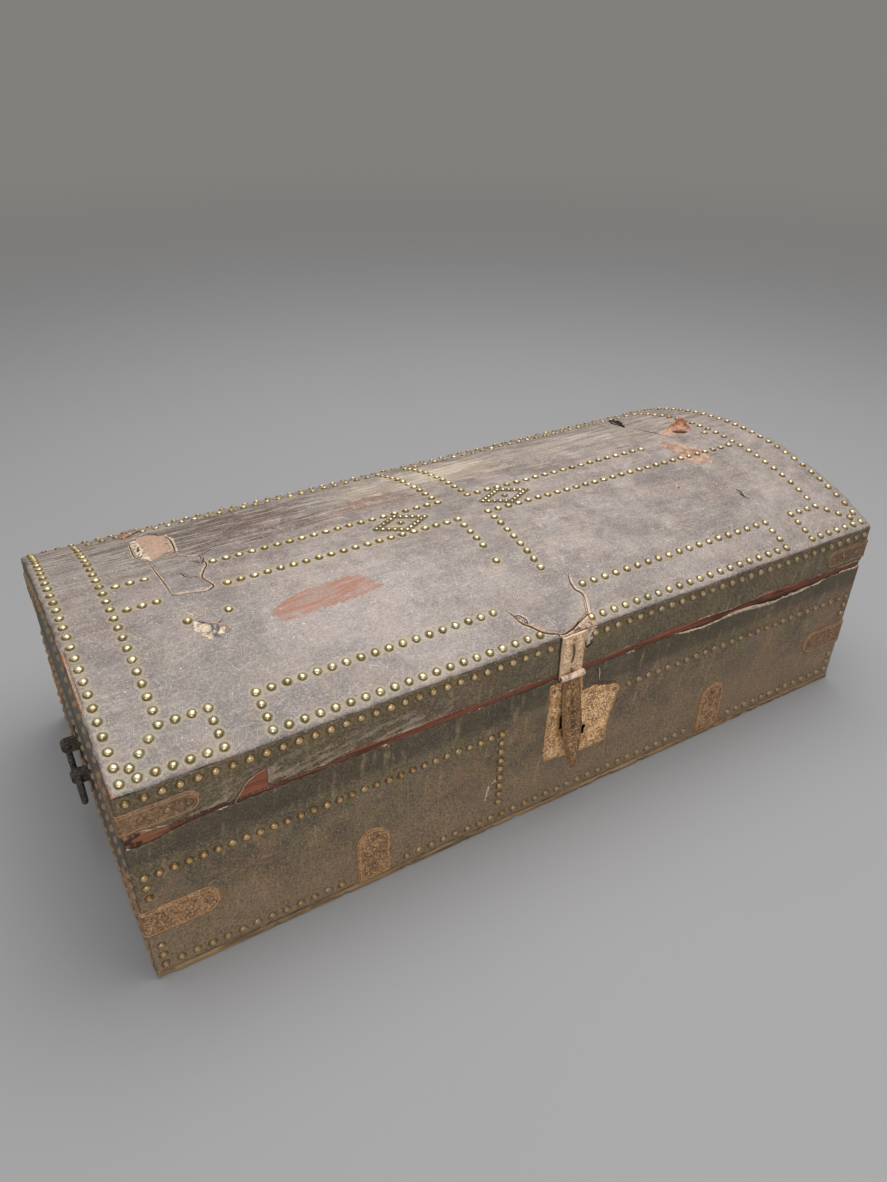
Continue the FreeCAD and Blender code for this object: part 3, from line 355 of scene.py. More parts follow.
def same_marks(points, marks):
    """Marks that have one value for all of some points."""
    return {name: np.full(len(points), value) for name, value in marks.items()}


def torn_lip(seat, path, width, curl, thickness, lift, side, seed, marks):
    """A torn lip along a path, in millimetres. Its section is a strip that bends upwards along a
    circle through the curl angle, as wide as the width at its middle and nothing at its ends,
    and a thickness deep. side is 1 for a lip on the left of the path, or -1."""
    line = eased_line(path, 1.6)
    way = np.gradient(line, axis=0)
    way /= np.linalg.norm(way, axis=1)[:, None]
    aside = side * np.stack([-way[:, 1], way[:, 0]], -1)
    share = np.linspace(0, 1, len(line))
    ragged = 1 + 0.35 * noise(share * len(line), share * 0, 3.5, seed)
    size = (width * ragged * np.clip(np.sin(math.pi * share), 0.02, 1) ** 0.6)[:, None]
    section = np.linspace(0, 1, 6)
    angle = curl * section
    over, rise = np.sin(angle) / curl, (1 - np.cos(angle)) / curl
    edge_over, edge_rise = -np.sin(angle), np.cos(angle)
    deep = thickness * (1 - 0.6 * section) * np.clip(np.sin(math.pi * share), 0.1, 1)[:, None]
    across = np.concatenate([over * size, (over * size + edge_over * deep)[:, ::-1]], 1)
    out = np.concatenate([rise * size, (rise * size + edge_rise * deep)[:, ::-1]], 1) + lift
    spot = line[:, None] + aside[:, None] * across[..., None]
    rings = seat(spot[..., 0] * MM, spot[..., 1] * MM, out * MM)
    points, faces, _ = swept(rings)
    return points, faces, same_marks(points, marks)


def fringe(seat, path, count, length, marks, seed, width, lift):
    """Frayed fibres along a path, in millimetres: each is a thin flat strip of four rings that
    hangs down from a random place of the path, bent aside and outwards, and ends in a point."""
    chance = np.random.default_rng(seed)
    line = np.array(path, float)
    travel = np.concatenate([[0], np.cumsum(np.linalg.norm(np.diff(line, axis=0), axis=1))])
    places = chance.uniform(0, travel[-1], count)
    root = np.stack([np.interp(places, travel, column) for column in line.T], -1)
    long = length * chance.uniform(0.3, 1, count)
    lean = chance.normal(0, 0.35, count)
    wide = width * chance.uniform(0.5, 1.3, count)
    bow = chance.uniform(-0.3, 0.5, count)
    share = np.linspace(0, 1, 4)
    across = root[:, :1] + long[:, None] * lean[:, None] * share ** 1.5
    up = root[:, 1:] + 0.8 - (long[:, None] + 0.8) * share
    out = lift + bow[:, None] * share ** 2
    half = wide[:, None] * (1 - 0.85 * share) / 2
    corners = [(-1, 0), (1, 0), (1, 0.35), (-1, 0.35)]
    rings = np.stack([seat((across + side * half) * MM, up * MM, (out + deep) * MM)
                      for side, deep in corners], 2)
    points, faces, _ = joined([swept(fibre) for fibre in rings])
    return points, faces, same_marks(points, marks)


def in_scene(name, data):
    """A new object in the scene, made of some data."""
    thing = bpy.data.objects.new(name, data)
    bpy.context.scene.collection.objects.link(thing)
    return thing


def add_piece(name, solid, finish, body, nodes=()):
    """Puts a solid in the scene as a piece of a body, with its marks as attributes."""
    points, faces, marks = solid
    mesh = bpy.data.meshes.new(name)
    corners = np.concatenate([face.ravel() for face in faces])
    sizes = np.concatenate([np.full(len(face), face.shape[1]) for face in faces])
    mesh.vertices.add(len(points))
    mesh.vertices.foreach_set("co", points.astype(np.float32).ravel())
    mesh.loops.add(len(corners))
    mesh.loops.foreach_set("vertex_index", corners.astype(np.int32))
    mesh.polygons.add(len(sizes))
    mesh.polygons.foreach_set("loop_start", (np.cumsum(sizes) - sizes).astype(np.int32))
    mesh.polygons.foreach_set("use_smooth", np.ones(len(sizes), bool))
    for mark, values in marks.items():
        layer = mesh.attributes.new(mark, "FLOAT", "POINT")
        layer.data.foreach_set("value", values.astype(np.float32))
    mesh.update(calc_edges=True)
    if mesh.validate():
        raise RuntimeError("%s has faces that can't be used" % name)
    mesh.materials.append(finish)
    piece = in_scene(name, mesh)
    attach(piece, body)
    if nodes:
        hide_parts(*nodes)


# Materials: node trees built from expressions

class Value:
    """A number or colour on its way through a node tree. Sums on it add Math nodes."""

    def __init__(self, nodes, socket):
        self.nodes = nodes
        self.socket = socket

    def math(self, operation, first, second=0.0):
        """A Math node on two values."""
        return self.nodes.add("ShaderNodeMath", {"operation": operation}, {0: first, 1: second})

    def step(self, low, high):
        """A smooth step from 0 at low to 1 at high, or from 1 to 0 if low is higher."""
        return self.nodes.add("ShaderNodeMapRange", {"interpolation_type": "SMOOTHSTEP"}, {
            "Value": self, "From Min": low, "From Max": high})

    def __add__(self, other):
        return self.math("ADD", self, other)

    def __sub__(self, other):
        return self.math("SUBTRACT", self, other)

    def __rsub__(self, other):
        return self.math("SUBTRACT", other, self)

    def __mul__(self, other):
        return self.math("MULTIPLY", self, other)

    def __abs__(self):
        return self.math("ABSOLUTE", self)

    __radd__ = __add__
    __rmul__ = __mul__


class Nodes:
    """A node tree to add nodes to."""

    def __init__(self, tree):
        self.tree = tree

    def wire(self, socket, value):
        """Links a value to a socket, or sets the socket to it."""
        if isinstance(value, Value):
            self.tree.links.new(value.socket, socket)
        else:
            socket.default_value = value

    def add(self, kind, settings=None, values=None, output=0):
        """A node of a kind, its settings first, then the values or links of its sockets."""
        node = self.tree.nodes.new(kind)
        for name, setting in (settings or {}).items():
            setattr(node, name, setting)
        for name, value in (values or {}).items():
            self.wire(node.inputs[name], value)
        return Value(self, node.outputs[output])

    def shown(self):
        """1 for rays from the camera and from glossy or clear surfaces, and 0 for the others."""
        return sum(self.add("ShaderNodeLightPath", output="Is %s Ray" % kind)
                   for kind in ("Camera", "Glossy", "Transmission"))


class Finish(Nodes):
    """A material whose base colour is built up in coats. Its plane is made of object coordinates:
    x and y on level faces, or else x plus y, and z, so that drawn-out marks lie along them."""

    def __init__(self, name, level=True):
        self.material = bpy.data.materials.new(name)
        self.material.use_nodes = True
        super().__init__(self.material.node_tree)
        self.shader = self.tree.nodes["Principled BSDF"]
        self.base = (0.0, 0.0, 0.0, 1.0)
        self.place = self.add("ShaderNodeTexCoord", output="Object")
        self.x, self.y, self.z = (self.add("ShaderNodeSeparateXYZ", None, {0: self.place}, part)
                                  for part in range(3))
        self.plane = self.add("ShaderNodeCombineXYZ", None, {
            0: self.x if level else self.x + self.y, 1: self.y if level else self.z})

    def grain(self, size_mm, detail=4, rough=0.55, distort=0.0, along_x=None):
        """Noise with features of about a size in millimetres. A share for along X draws them out
        that way."""
        vector = self.place if along_x is None else self.add(
            "ShaderNodeMapping", {"vector_type": "POINT"},
            {"Vector": self.place, "Scale": (along_x, 1, 1)})
        return self.add("ShaderNodeTexNoise", {"noise_dimensions": "3D"}, {
            "Vector": vector, "Scale": 1000 / size_mm, "Detail": detail, "Roughness": rough,
            "Distortion": distort})

    def cells(self, size_mm, feature="F1"):
        """Distance in cells of about a size in millimetres."""
        return self.add("ShaderNodeTexVoronoi", {"feature": feature},
                        {"Vector": self.place, "Scale": 1000 / size_mm})

    def lines(self, turn, long_mm, wide_mm, low, high, detail=2):
        """Marks drawn out along a turned direction of the plane, about so long and wide: a step
        of noise that is stretched in that direction."""
        vector = self.add("ShaderNodeMapping", {"vector_type": "TEXTURE"}, {
            "Vector": self.plane, "Rotation": (0, 0, turn),
            "Scale": (long_mm * MM, wide_mm * MM, 1)})
        return self.add("ShaderNodeTexNoise", {"noise_dimensions": "2D"}, {
            "Vector": vector, "Scale": 1, "Detail": detail, "Roughness": 0.6}).step(low, high)

    def length(self, vector):
        """The length of a vector."""
        return self.add("ShaderNodeVectorMath", {"operation": "LENGTH"}, {0: vector}, "Value")

    def blotch(self, x_mm, y_mm, half_x_mm, half_y_mm, wander):
        """A soft oval patch of the plane, 1 inside it, with its edge moved by a value."""
        vector = self.add("ShaderNodeMapping", {"vector_type": "TEXTURE"}, {
            "Vector": self.plane, "Location": (x_mm * MM, y_mm * MM, 0),
            "Scale": (half_x_mm * MM, half_y_mm * MM, 1)})
        return (self.length(vector) + wander).step(1.25, 0.65)

    def mix(self, share, first, second):
        """One colour over another by a share."""
        return self.add("ShaderNodeMix", {"data_type": "RGBA"}, {0: share, 6: first, 7: second}, 2)

    def coat(self, share, colour):
        """Lays a colour over the base colour by a share."""
        self.base = self.mix(share, self.base, colour)

    def mark(self, name):
        """A mark kept on the piece's points."""
        return self.add("ShaderNodeAttribute", {"attribute_name": name}, output="Fac")

    def set(self, name, value):
        """Sets or links one of the shader's own sockets."""
        self.wire(self.shader.inputs[name], value)

    def bump(self, height, distance_mm, strength=1.0):
        """Turns a height into the shader's normal."""
        self.set("Normal", self.add("ShaderNodeBump", None, {
            "Height": height, "Distance": distance_mm * MM, "Strength": strength}))


def shade(red, green, blue):
    """A colour given in 8-bit display values, as the linear colour that nodes use."""
    values = np.array([red, green, blue]) / 255
    linear = np.where(values <= 0.04045, values / 12.92, ((values + 0.055) / 1.055) ** 2.4)
    return (*linear.tolist(), 1.0)


def choices(context):
    """The wear and the colours that are set on the scene."""
    return context.scene.trunk_wear, context.scene.trunk_colours


def opaque(colour):
    """A colour property as a colour with its alpha."""
    return (*colour, 1.0)


# What a user would change

def colour_property(name, description, red, green, blue):
    """A colour with its name, description and default."""
    return bpy.props.FloatVectorProperty(
        name=name, description=description, subtype="COLOR", size=3, min=0, max=1,
        default=shade(red, green, blue)[:3])


def length_property(name, description, millimetres):
    """A length with its name, description and default."""
    return bpy.props.FloatProperty(
        name=name, description=description, subtype="DISTANCE", unit="LENGTH",
        default=millimetres * MM, min=0, precision=4)


def angle_property(name, description, degrees, **limits):
    """An angle with its name, description and default."""
    return bpy.props.FloatProperty(
        name=name, description=description, subtype="ANGLE", unit="ROTATION",
        default=math.radians(degrees), **limits)


class TrunkColours(bpy.types.PropertyGroup):
    """Colours of the trunk's materials."""
    # The lid's greys are lighter than the sides' browns partly because they hold painted sheen.
    lid_hide: colour_property("Lid leather", "Worn grey of the lid's leather", 148, 136, 130)
    lid_hide_dark: colour_property("Lid leather, dark", "Unworn patches of the lid", 112, 101, 95)
    body_hide: colour_property("Body leather", "Olive brown of the sides", 118, 101, 80)
    body_hide_dark: colour_property("Body leather, dark", "Unworn patches of the sides", 90, 78, 60)
    bare_hide: colour_property("Torn leather", "Pink-tan inner side of the leather", 180, 152, 131)
    stain: colour_property("Stain", "Red-brown stain on the lid", 148, 90, 60)
    cream: colour_property("Frayed edges", "Pale fibres along tears and cracks", 214, 194, 168)
    wood: colour_property("Bare wood", "Red-brown wood of the boards", 148, 82, 56)
    rim_wood: colour_property("Floor board", "Tan wood of the floor board's rim", 152, 122, 82)
    strap_rust: colour_property("Strap rust", "Tan-brown rust of the straps", 158, 118, 80)
    plate_rust: colour_property("Plate rust", "Orange-tan rust of the lock plate", 234, 174, 108)
    hasp_rust: colour_property("Hasp rust", "Dark rust of the hasp's blade", 136, 98, 62)
    black_iron: colour_property("Black iron", "Dull black of the handles", 66, 60, 56)
    # The crowns' pale brass is partly wear and partly painted highlight.
    brass: colour_property("Brass", "Rubbed crowns of the domed nails", 236, 220, 176)
    brass_tarnish: colour_property("Tarnish", "Brown tarnish round the crowns", 144, 122, 80)
    bronze: colour_property("Bronze", "Crowns of the nails on the left of the front", 226, 178, 116)
    bronze_tarnish: colour_property("Dark bronze", "Feet of the nails on the front", 126, 92, 54)


class TrunkWear(bpy.types.PropertyGroup):
    """Sizes of the wear."""
    hide_wave: length_property("Leather waves", "Height of the waves in the leather", 0.7)
    ragged_edge: length_property("Ragged edges", "How far cut edges of leather wander", 1.2)
    pitting: length_property("Pitting", "Depth of the pits in the iron", 0.45)
    nail_tilt: angle_property("Nail tilt", "Greatest tilt of a nail's head", 7, min=0)


class TrunkStage(bpy.types.PropertyGroup):
    """Lamps, floor and camera."""
    lamp_power: bpy.props.FloatProperty(
        name="Overhead lamp", description="Power of the large soft lamp", unit="POWER",
        default=58, min=0)
    fill: bpy.props.FloatProperty(
        name="Fill", description="Strength of the even light from all round", default=0.55, min=0)
    floor: colour_property("Floor", "Colour of the studio floor", 151, 150, 150)
    backdrop: colour_property("Backdrop", "Colour that the floor fades to far away", 130, 128, 124)
    camera_place: bpy.props.FloatVectorProperty(
        name="Camera", description="Place of the camera", subtype="TRANSLATION",
        unit="LENGTH", size=3, default=(-0.5883, -0.9379, 0.9182))
    camera_heading: angle_property("Heading", "Turn of the camera from +Y towards +X", 30.74)
    camera_dip: angle_property("Dip", "How far the camera looks down", 33.06)
    camera_roll: angle_property("Roll", "Turn of the camera about its view", 0.685)
    camera_lens: bpy.props.FloatProperty(
        name="Lens", description="Focal length on a 36 mm sensor", subtype="DISTANCE_CAMERA",
        unit="CAMERA", default=27.33)


# The wear, in millimetres. On the dome a point is x and the arc from the crest, front below zero.

PINK_PATCH = [(-412, 169), (-396, 174), (-381, 148), (-383, 105), (-384, 76), (-396, 76),
              (-412, 59), (-415, 94)]
PINK_FRAY = [(-413, 157), (-422, 157), (-425, 111), (-427, 83), (-414, 57), (-414, 94)]
FLAP = [(-419, 64), (-418, 25), (-416, -5), (-414, -31), (-402, -35), (-387, -39), (-378, -41),
        (-367, -35), (-371, -20), (-373, -10), (-366, 4), (-359, 17), (-360, 35), (-361, 43)]
WHITE_PEEL = [(-408, -84), (-398, -96), (-386, -102), (-376, -112), (-384, -121), (-396, -124),
              (-407, -114), (-413, -102)]
RED_STAIN = [(-325, -112), (-314, -101), (-283, -88), (-242, -85), (-205, -87), (-184, -118),
             (-222, -123), (-296, -126), (-316, -130)]
BACK_BARE = [(366, 18), (390, 28), (403, 4), (419, -26), (419, -57), (402, -67), (378, -62),
             (369, -34), (371, -8)]
LEFT_CRACK = [(-64, -209), (-59, -220), (-55, -232), (-46, -241), (-38, -251), (-28, -258),
              (-20, -261), (-19, -267)]
LEFT_BRANCH = [(-58, -220), (-52, -223), (-47, -231), (-48, -236)]
RIGHT_CRACK = [(46, -185), (40, -199), (39, -212), (44, -220), (40, -234), (35, -245), (33, -249),
               (16, -256), (5, -261), (-5, -263.5), (-14, -264), (-20, -262)]
HASP_BARE = [(34, -246), (39, -254), (38, -270), (-20, -270), (-16, -263), (-5, -263),
             (16, -255.5)]
TONGUE = LEFT_CRACK[:7] + RIGHT_CRACK[::-1]
BACK_TEAR = [(391, 124), (395, 92), (402, 61), (411, 24)]
FLAP_SLITS = [
    [(-377, 33), (-370, 29), (-365, 21), (-359, 30), (-360, 40)],
    [(-399, 9), (-393, 8), (-390, -2), (-384, -7), (-378, -9)],
]
CORNER_FLAP = [(-423, 188), (-412, 201), (-400, 220), (-391, 238)]
FLAP_OUTLINE = FLAP + [(-372, 47), (-384, 60), (-400, 58), (-414, 62)]
SMALL_CRACK = [(388, -134), (391, -142), (388, -150), (393, -160)]
BACK_HOLE = [(423, 203), (414, 186), (402, 162), (396, 140), (390, 122)]
SCRATCHES = [
    [(155, 127), (153, 104), (134, 76), (114, 59)],
    [(309, -72), (307, -88), (304, -110)], [(312, -80), (310, -96), (305, -108)],
    [(-210, 40), (-150, 22), (-120, 5)], [(210, 10), (250, -35), (262, -60)],
    [(330, -60), (352, -96), (380, -120)], [(346, -128), (372, -118), (404, -124)],
    [(316, -122), (336, -140), (342, -168)], [(366, -90), (372, -130), (380, -150)],
]

# On the walls a point is x or y, and z

FLANGE_HOLE = [(-395, 251), (-408, 247.5), (-419, 242), (-426, 232), (-434, 220), (-426.5, 214),
               (-400, 214), (-396, 224)]
FLANGE_EDGE = [(-553, 233), (-541, 231), (-516, 223), (-400, 223), (-326, 223.2), (-293, 230),
               (-232, 226), (-195, 228), (-156, 229), (-116, 225.5), (-60, 227), (-20, 223.5),
               (29, 225), (96, 226), (165, 229), (183, 230), (215, 227), (281, 223.2), (347, 227),
               (417, 225.5), (481, 223), (553, 223)]
BODY_EDGE = [(-553, 212), (-537, 208), (-512, 211), (-492, 216), (-430, 218), (-300, 218.5),
             (-160, 219), (-60, 218), (30, 217.5), (150, 217.5), (184, 217), (215, 214),
             (230, 211.5), (250, 213), (283, 217), (317, 216), (340, 212), (355, 209), (380, 208),
             (401, 209), (440, 209.5), (458, 211), (490, 215), (553, 216)]


def edge_line(points, across):
    """The height of an edge given by points, at some places across."""
    x, y = np.array(sorted(points)).T * MM
    return np.interp(across, x, y)


# Nails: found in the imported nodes

def find_nails(node):
    """The side, place on its sheet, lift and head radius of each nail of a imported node. Corners
    that share a triangle get one label, the lowest that reaches them, and each label is a nail."""
    corners = node_points(node)
    points, label_of = np.unique(np.round(corners * 1e5).astype(int), axis=0, return_inverse=True)
    points = points / 1e5
    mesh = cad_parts[node].data
    loops = np.empty(len(mesh.loops), np.int32)
    mesh.loops.foreach_get("vertex_index", loops)
    triangles = label_of.ravel()[loops].reshape(-1, 3)
    labels = np.arange(len(points))
    while True:
        lowest = labels[triangles].min(1)
        spread = labels.copy()
        np.minimum.at(spread, triangles.ravel(), np.repeat(lowest, 3))
        spread = spread[spread]
        if np.array_equal(spread, labels):
            break
        labels = spread
    found = {side: [] for side in SEATS}
    for label in np.unique(labels):
        nail = points[labels == label]
        if node.startswith("lid") and node.split("_")[1] in ("border", "crest", "field", "small"):
            turn = np.arctan2(nail[:, 1], nail[:, 2] - DOME_CENTRE)
            reach = np.hypot(nail[:, 1], nail[:, 2] - DOME_CENTRE) - DOME_RADIUS
            crown = np.argmax(reach)
            found["dome"].append((nail[:, 0].min() / 2 + nail[:, 0].max() / 2,
                                  turn[crown] * DOME_RADIUS, reach[crown], np.ptp(nail[:, 0]) / 2))
            continue
        proud = np.abs(nail[:, :2]).max(0) - (HALF_LENGTH, HALF_DEPTH)
        axis = int(proud.argmax())
        middle = (nail.min(0) + nail.max(0)) / 2
        side = (("left", "right"), ("front", "back"))[axis][int(middle[axis] > 0)]
        found[side].append((middle[1 - axis], middle[2], proud.max(), np.ptp(nail[:, 2]) / 2))
    return {side: np.array(nails) for side, nails in found.items() if nails}


BRASS_NODES = ["lid_border_nails", "lid_crest_nails", "lid_field_nails", "lid_small_nails",
               "lid_edge_nails", "body_front_nails", "body_back_nails", "body_end_nails"]
IRON_NODES = ["lid_iron_nails", "body_iron_nails"]
NAILS = {node: find_nails(node) for node in BRASS_NODES + IRON_NODES}


def spots_on(side, lid):
    """The places of the brass nails on a side of the lid or the body."""
    found = [NAILS[node][side][:, :2] for node in BRASS_NODES
             if side in NAILS[node] and node.startswith("lid") == lid]
    return np.concatenate(found) if found else np.empty((0, 2))


# Nail heads: how far they stand out, in millimetres, and their rings at shares of radius and rise

HEAD_RISE = {"lid_small_nails": 2.2, "lid_iron_nails": 1.6, "body_iron_nails": 1.6}
USUAL_RISE = 3.4
HEAD_STEPS = 12
HEAD_RINGS = [(0.42, 0.9), (0.78, 0.58), (0.97, 0.2), (1.02, 0.02), (0.99, -0.16)]


def nail_marks(node, side, nails):
    """How bronze and how dull each nail is: the lid's are brass, the front's are bronze, and the
    body's are duller on the right, near the foot and on the other sides."""
    across, up = nails[:, 0] / HALF_LENGTH, nails[:, 1]
    if side == "dome":
        return 0.12 * step(across, -0.2, 0.8), 0.1 + 0.15 * step(across, -0.2, 0.8)
    if side == "front" and node.startswith("lid"):
        return 0.6 - 0.3 * step(across, -0.8, 0.2), 0.2 + 0.35 * step(across, 0, 0.6)
    foot = step(-up, -60 * MM, -20 * MM)
    if side == "front":
        return 0.85 + 0 * up, 0.3 + 0.3 * step(across, -0.05, 0.2) + 0.3 * foot
    return 0.8 + 0 * up, (0.9 if side == "left" else 0.5) + 0.2 * foot


def nail_heads(node, rise, tilt_limit, seed):
    """Domed heads for a node's nails: rings at shares of the radius and rise, a crown above and a
    flat face below, each with its own small tilt, shift and dents."""
    chance = np.random.default_rng(seed)
    solids = []
    for side, nails in NAILS[node].items():
        count = len(nails)
        angle = np.linspace(0, 2 * math.pi, HEAD_STEPS, endpoint=False)
        share, level = np.array(HEAD_RINGS).T
        dent = 1 + 0.05 * np.sin(angle * 2 + chance.uniform(0, 6.3, (count, 1, 1))) \
            + 0.04 * np.sin(angle * 3 + chance.uniform(0, 6.3, (count, 1, 1)))
        radius = nails[:, 3, None, None] * chance.uniform(0.85, 0.98, (count, 1, 1))
        flat = chance.uniform(0.72, 1.08, (count, 1, 1))
        local_x = radius * share[:, None] * np.cos(angle) * dent
        local_y = radius * share[:, None] * np.sin(angle) * dent
        crown = np.stack([chance.normal(0, 0.25 * MM, count), chance.normal(0, 0.25 * MM, count),
                          rise * flat[:, 0, 0]], -1)
        rings = points_at(local_x, local_y, rise * flat * level[:, None]).reshape(count, -1, 3)
        local = np.concatenate([crown[:, None], rings], 1)
        tilt = chance.normal(0, tilt_limit / 2.5, (count, 2))
        local[..., 2] += local[..., 0] * tilt[:, :1] + local[..., 1] * tilt[:, 1:]
        seat_level = nails[:, 2, None] - rise
        points = SEATS[side](nails[:, 0, None] + local[..., 0], nails[:, 1, None] + local[..., 1],
                             seat_level + local[..., 2] - 0.1 * MM)
        per_nail = 1 + HEAD_STEPS * len(HEAD_RINGS)
        base = np.arange(count)[:, None] * per_nail
        ring = 1 + np.arange(HEAD_STEPS * len(HEAD_RINGS)).reshape(-1, HEAD_STEPS)
        turned = np.roll(ring, -1, 1)
        crown_faces = np.stack([0 * ring[0], ring[0], turned[0]], -1)
        quads = np.stack([ring[:-1], ring[1:], turned[1:], turned[:-1]], -1).reshape(-1, 4)
        under = ring[-1:, ::-1]
        faces = [(base[:, None] + face).reshape(-1, face.shape[1])
                 for face in (crown_faces, quads, under)]
        height = np.concatenate([[1.0], np.repeat(level, HEAD_STEPS)])
        bronze, dull = nail_marks(node, side, nails)
        marks = {"height": np.tile(height, count)}
        for name, values in (("chance", chance.uniform(0, 1, count)), ("bronze", bronze),
                             ("dull", dull)):
            marks[name] = np.repeat(values, per_nail)
        solids.append(outward(points.reshape(-1, 3), faces, marks))
    return joined(solids)


# Leather

# Patches on the lid: middle and half sizes in millimetres on the plane, share and colour

LID_PATCHES = [
    ((-265, 130, 95, 80), 0.85, shade(84, 62, 50)),
    ((-395, 120, 70, 75), 0.45, shade(88, 78, 66)),
    ((-105, 78, 75, 22), 0.6, shade(128, 86, 64)),
    ((-10, 130, 160, 50), 0.7, shade(206, 190, 168)),
    ((250, 120, 150, 60), 0.3, shade(196, 180, 158)),
    ((180, 10, 60, 50), 0.22, shade(96, 78, 72)),
]

# Hair-thin scratches: turn, length and width in millimetres

HAIRS = [(0.35, 36, 0.9), (1.2, 26, 0.8), (2.0, 44, 1.0), (2.75, 22, 0.8)]


def lid_wear_and_shade(finish):
    """Patches, smears and rubs that run along the lid, most of them on its back, and painted shade
    towards its left end.
    """
    back = finish.y.step(-0.02, 0.14)
    # Painted shade: the lid grows darker towards its left end.
    finish.coat(finish.x.step(-0.2, -0.5) * 0.28, shade(88, 78, 72))
    smears = finish.lines(0.06, 150, 13, 0.47, 0.56, 7)
    wander = (finish.grain(40, 6, 0.75, distort=0.6) - 0.5) * 3.2 - (smears - 0.5) * 0.5
    for oval, share, colour in LID_PATCHES:
        finish.coat(finish.blotch(*oval, wander) * share, colour)
    finish.coat(smears * (back * 0.5 + 0.08), shade(84, 64, 52))
    rubs = finish.lines(-0.05, 70, 5, 0.54, 0.66, 6)
    finish.coat(rubs * (back * 0.45 + 0.12), shade(208, 190, 170))


def wall_wear_and_shade(finish, patchy, band):
    """Lighter tan towards the foot, darker towards the seam, a painted shadow band just under the
    seam, upright rubs and drips, scuffs on the left of the lid's flange, and painted shade over the
    left end."""
    up = finish.z
    finish.coat(up.step(0.15, 0.04) * 0.5, shade(150, 122, 96))
    finish.coat(up.step(SEAM - 67 * MM, SEAM - 22 * MM) * 0.5, shade(80, 70, 48))
    # Painted shadow: a dark band just under the seam, below the lid's flange.
    finish.coat(band * 0.45, shade(52, 47, 34))
    rubs = finish.lines(1.45, 60, 9, 0.54, 0.68, 6) * patchy.step(0.42, 0.6)
    finish.coat(rubs * 0.55, shade(158, 138, 100))
    drips = finish.lines(1.6, 45, 1.6, 0.62, 0.72, 3)
    finish.coat(drips * 0.4, shade(60, 50, 38))
    scuffs = finish.lines(0.2, 34, 9, 0.48, 0.62, 7) * finish.x.step(-0.1, -0.25) \
        * up.step(SEAM, SEAM + 4 * MM) * up.step(SEAM + 43 * MM, SEAM + 23 * MM)
    finish.coat(scuffs * 0.7, shade(172, 152, 132))
    # Painted shade: the left end is darkened all over.
    left_end = finish.x.step(1.5 * MM - HALF_LENGTH, 0.5 * MM - HALF_LENGTH)
    finish.coat(left_end * 0.6, shade(46, 41, 34))


def hide_damage(finish, colours, fine):
    """Coats for the stained, bare, raw and pale places of a leather and for its tears. Gives the
    noise and the places that its surface follows too."""
    torn = finish.grain(4.2, 7, 0.78, distort=0.5)
    wander = (torn - 0.5) * 16
    stain = (finish.mark("stain") + wander * 1.6).step(-1, 1.5)
    speckled = (fine * 0.5 + torn * 0.5).step(0.4, 0.58)
    streaks = finish.lines(0.12, 50, 5, 0.4, 0.58, 6)
    finish.coat(stain * (speckled * 0.35 + streaks * 0.45 + 0.15), opaque(colours.stain))
    bare = (finish.mark("bare") + wander).step(-0.4, 0.8)
    finish.coat(bare, finish.mix((torn * 0.5 + fine * 0.5).step(0.42, 0.56),
                                 shade(146, 112, 90), opaque(colours.bare_hide)))
    raw = (finish.mark("raw") + wander * 0.4).step(-0.4, 0.4)
    finish.coat(raw, finish.mix(torn.step(0.36, 0.62), shade(104, 62, 44), shade(196, 138, 98)))
    pale = (finish.mark("pale") + wander * 0.6).step(-0.3, 0.5)
    finish.coat(pale, finish.mix(torn.step(0.38, 0.56), shade(140, 116, 92),
                                 opaque(colours.cream)))
    tear, wide = abs(finish.mark("tear") + wander * 0.12), finish.mark("tear_wide")
    rim = (tear - wide * (torn.step(0.4, 0.6) * 1.3 + 0.9)).step(0.5, -0.3) * wide.step(0.15, 0.4)
    finish.coat(rim * 0.85, finish.mix(torn, shade(168, 130, 104), opaque(colours.cream)))
    slit = (tear - abs(wide) * 0.62).step(0.25, -0.25) * abs(wide).step(0.1, 0.3)
    dark = finish.mark("dark").step(0.3, 0.75)
    finish.coat(slit.math("MAXIMUM", slit, dark), shade(36, 23, 18))
    return torn, bare, pale, slit


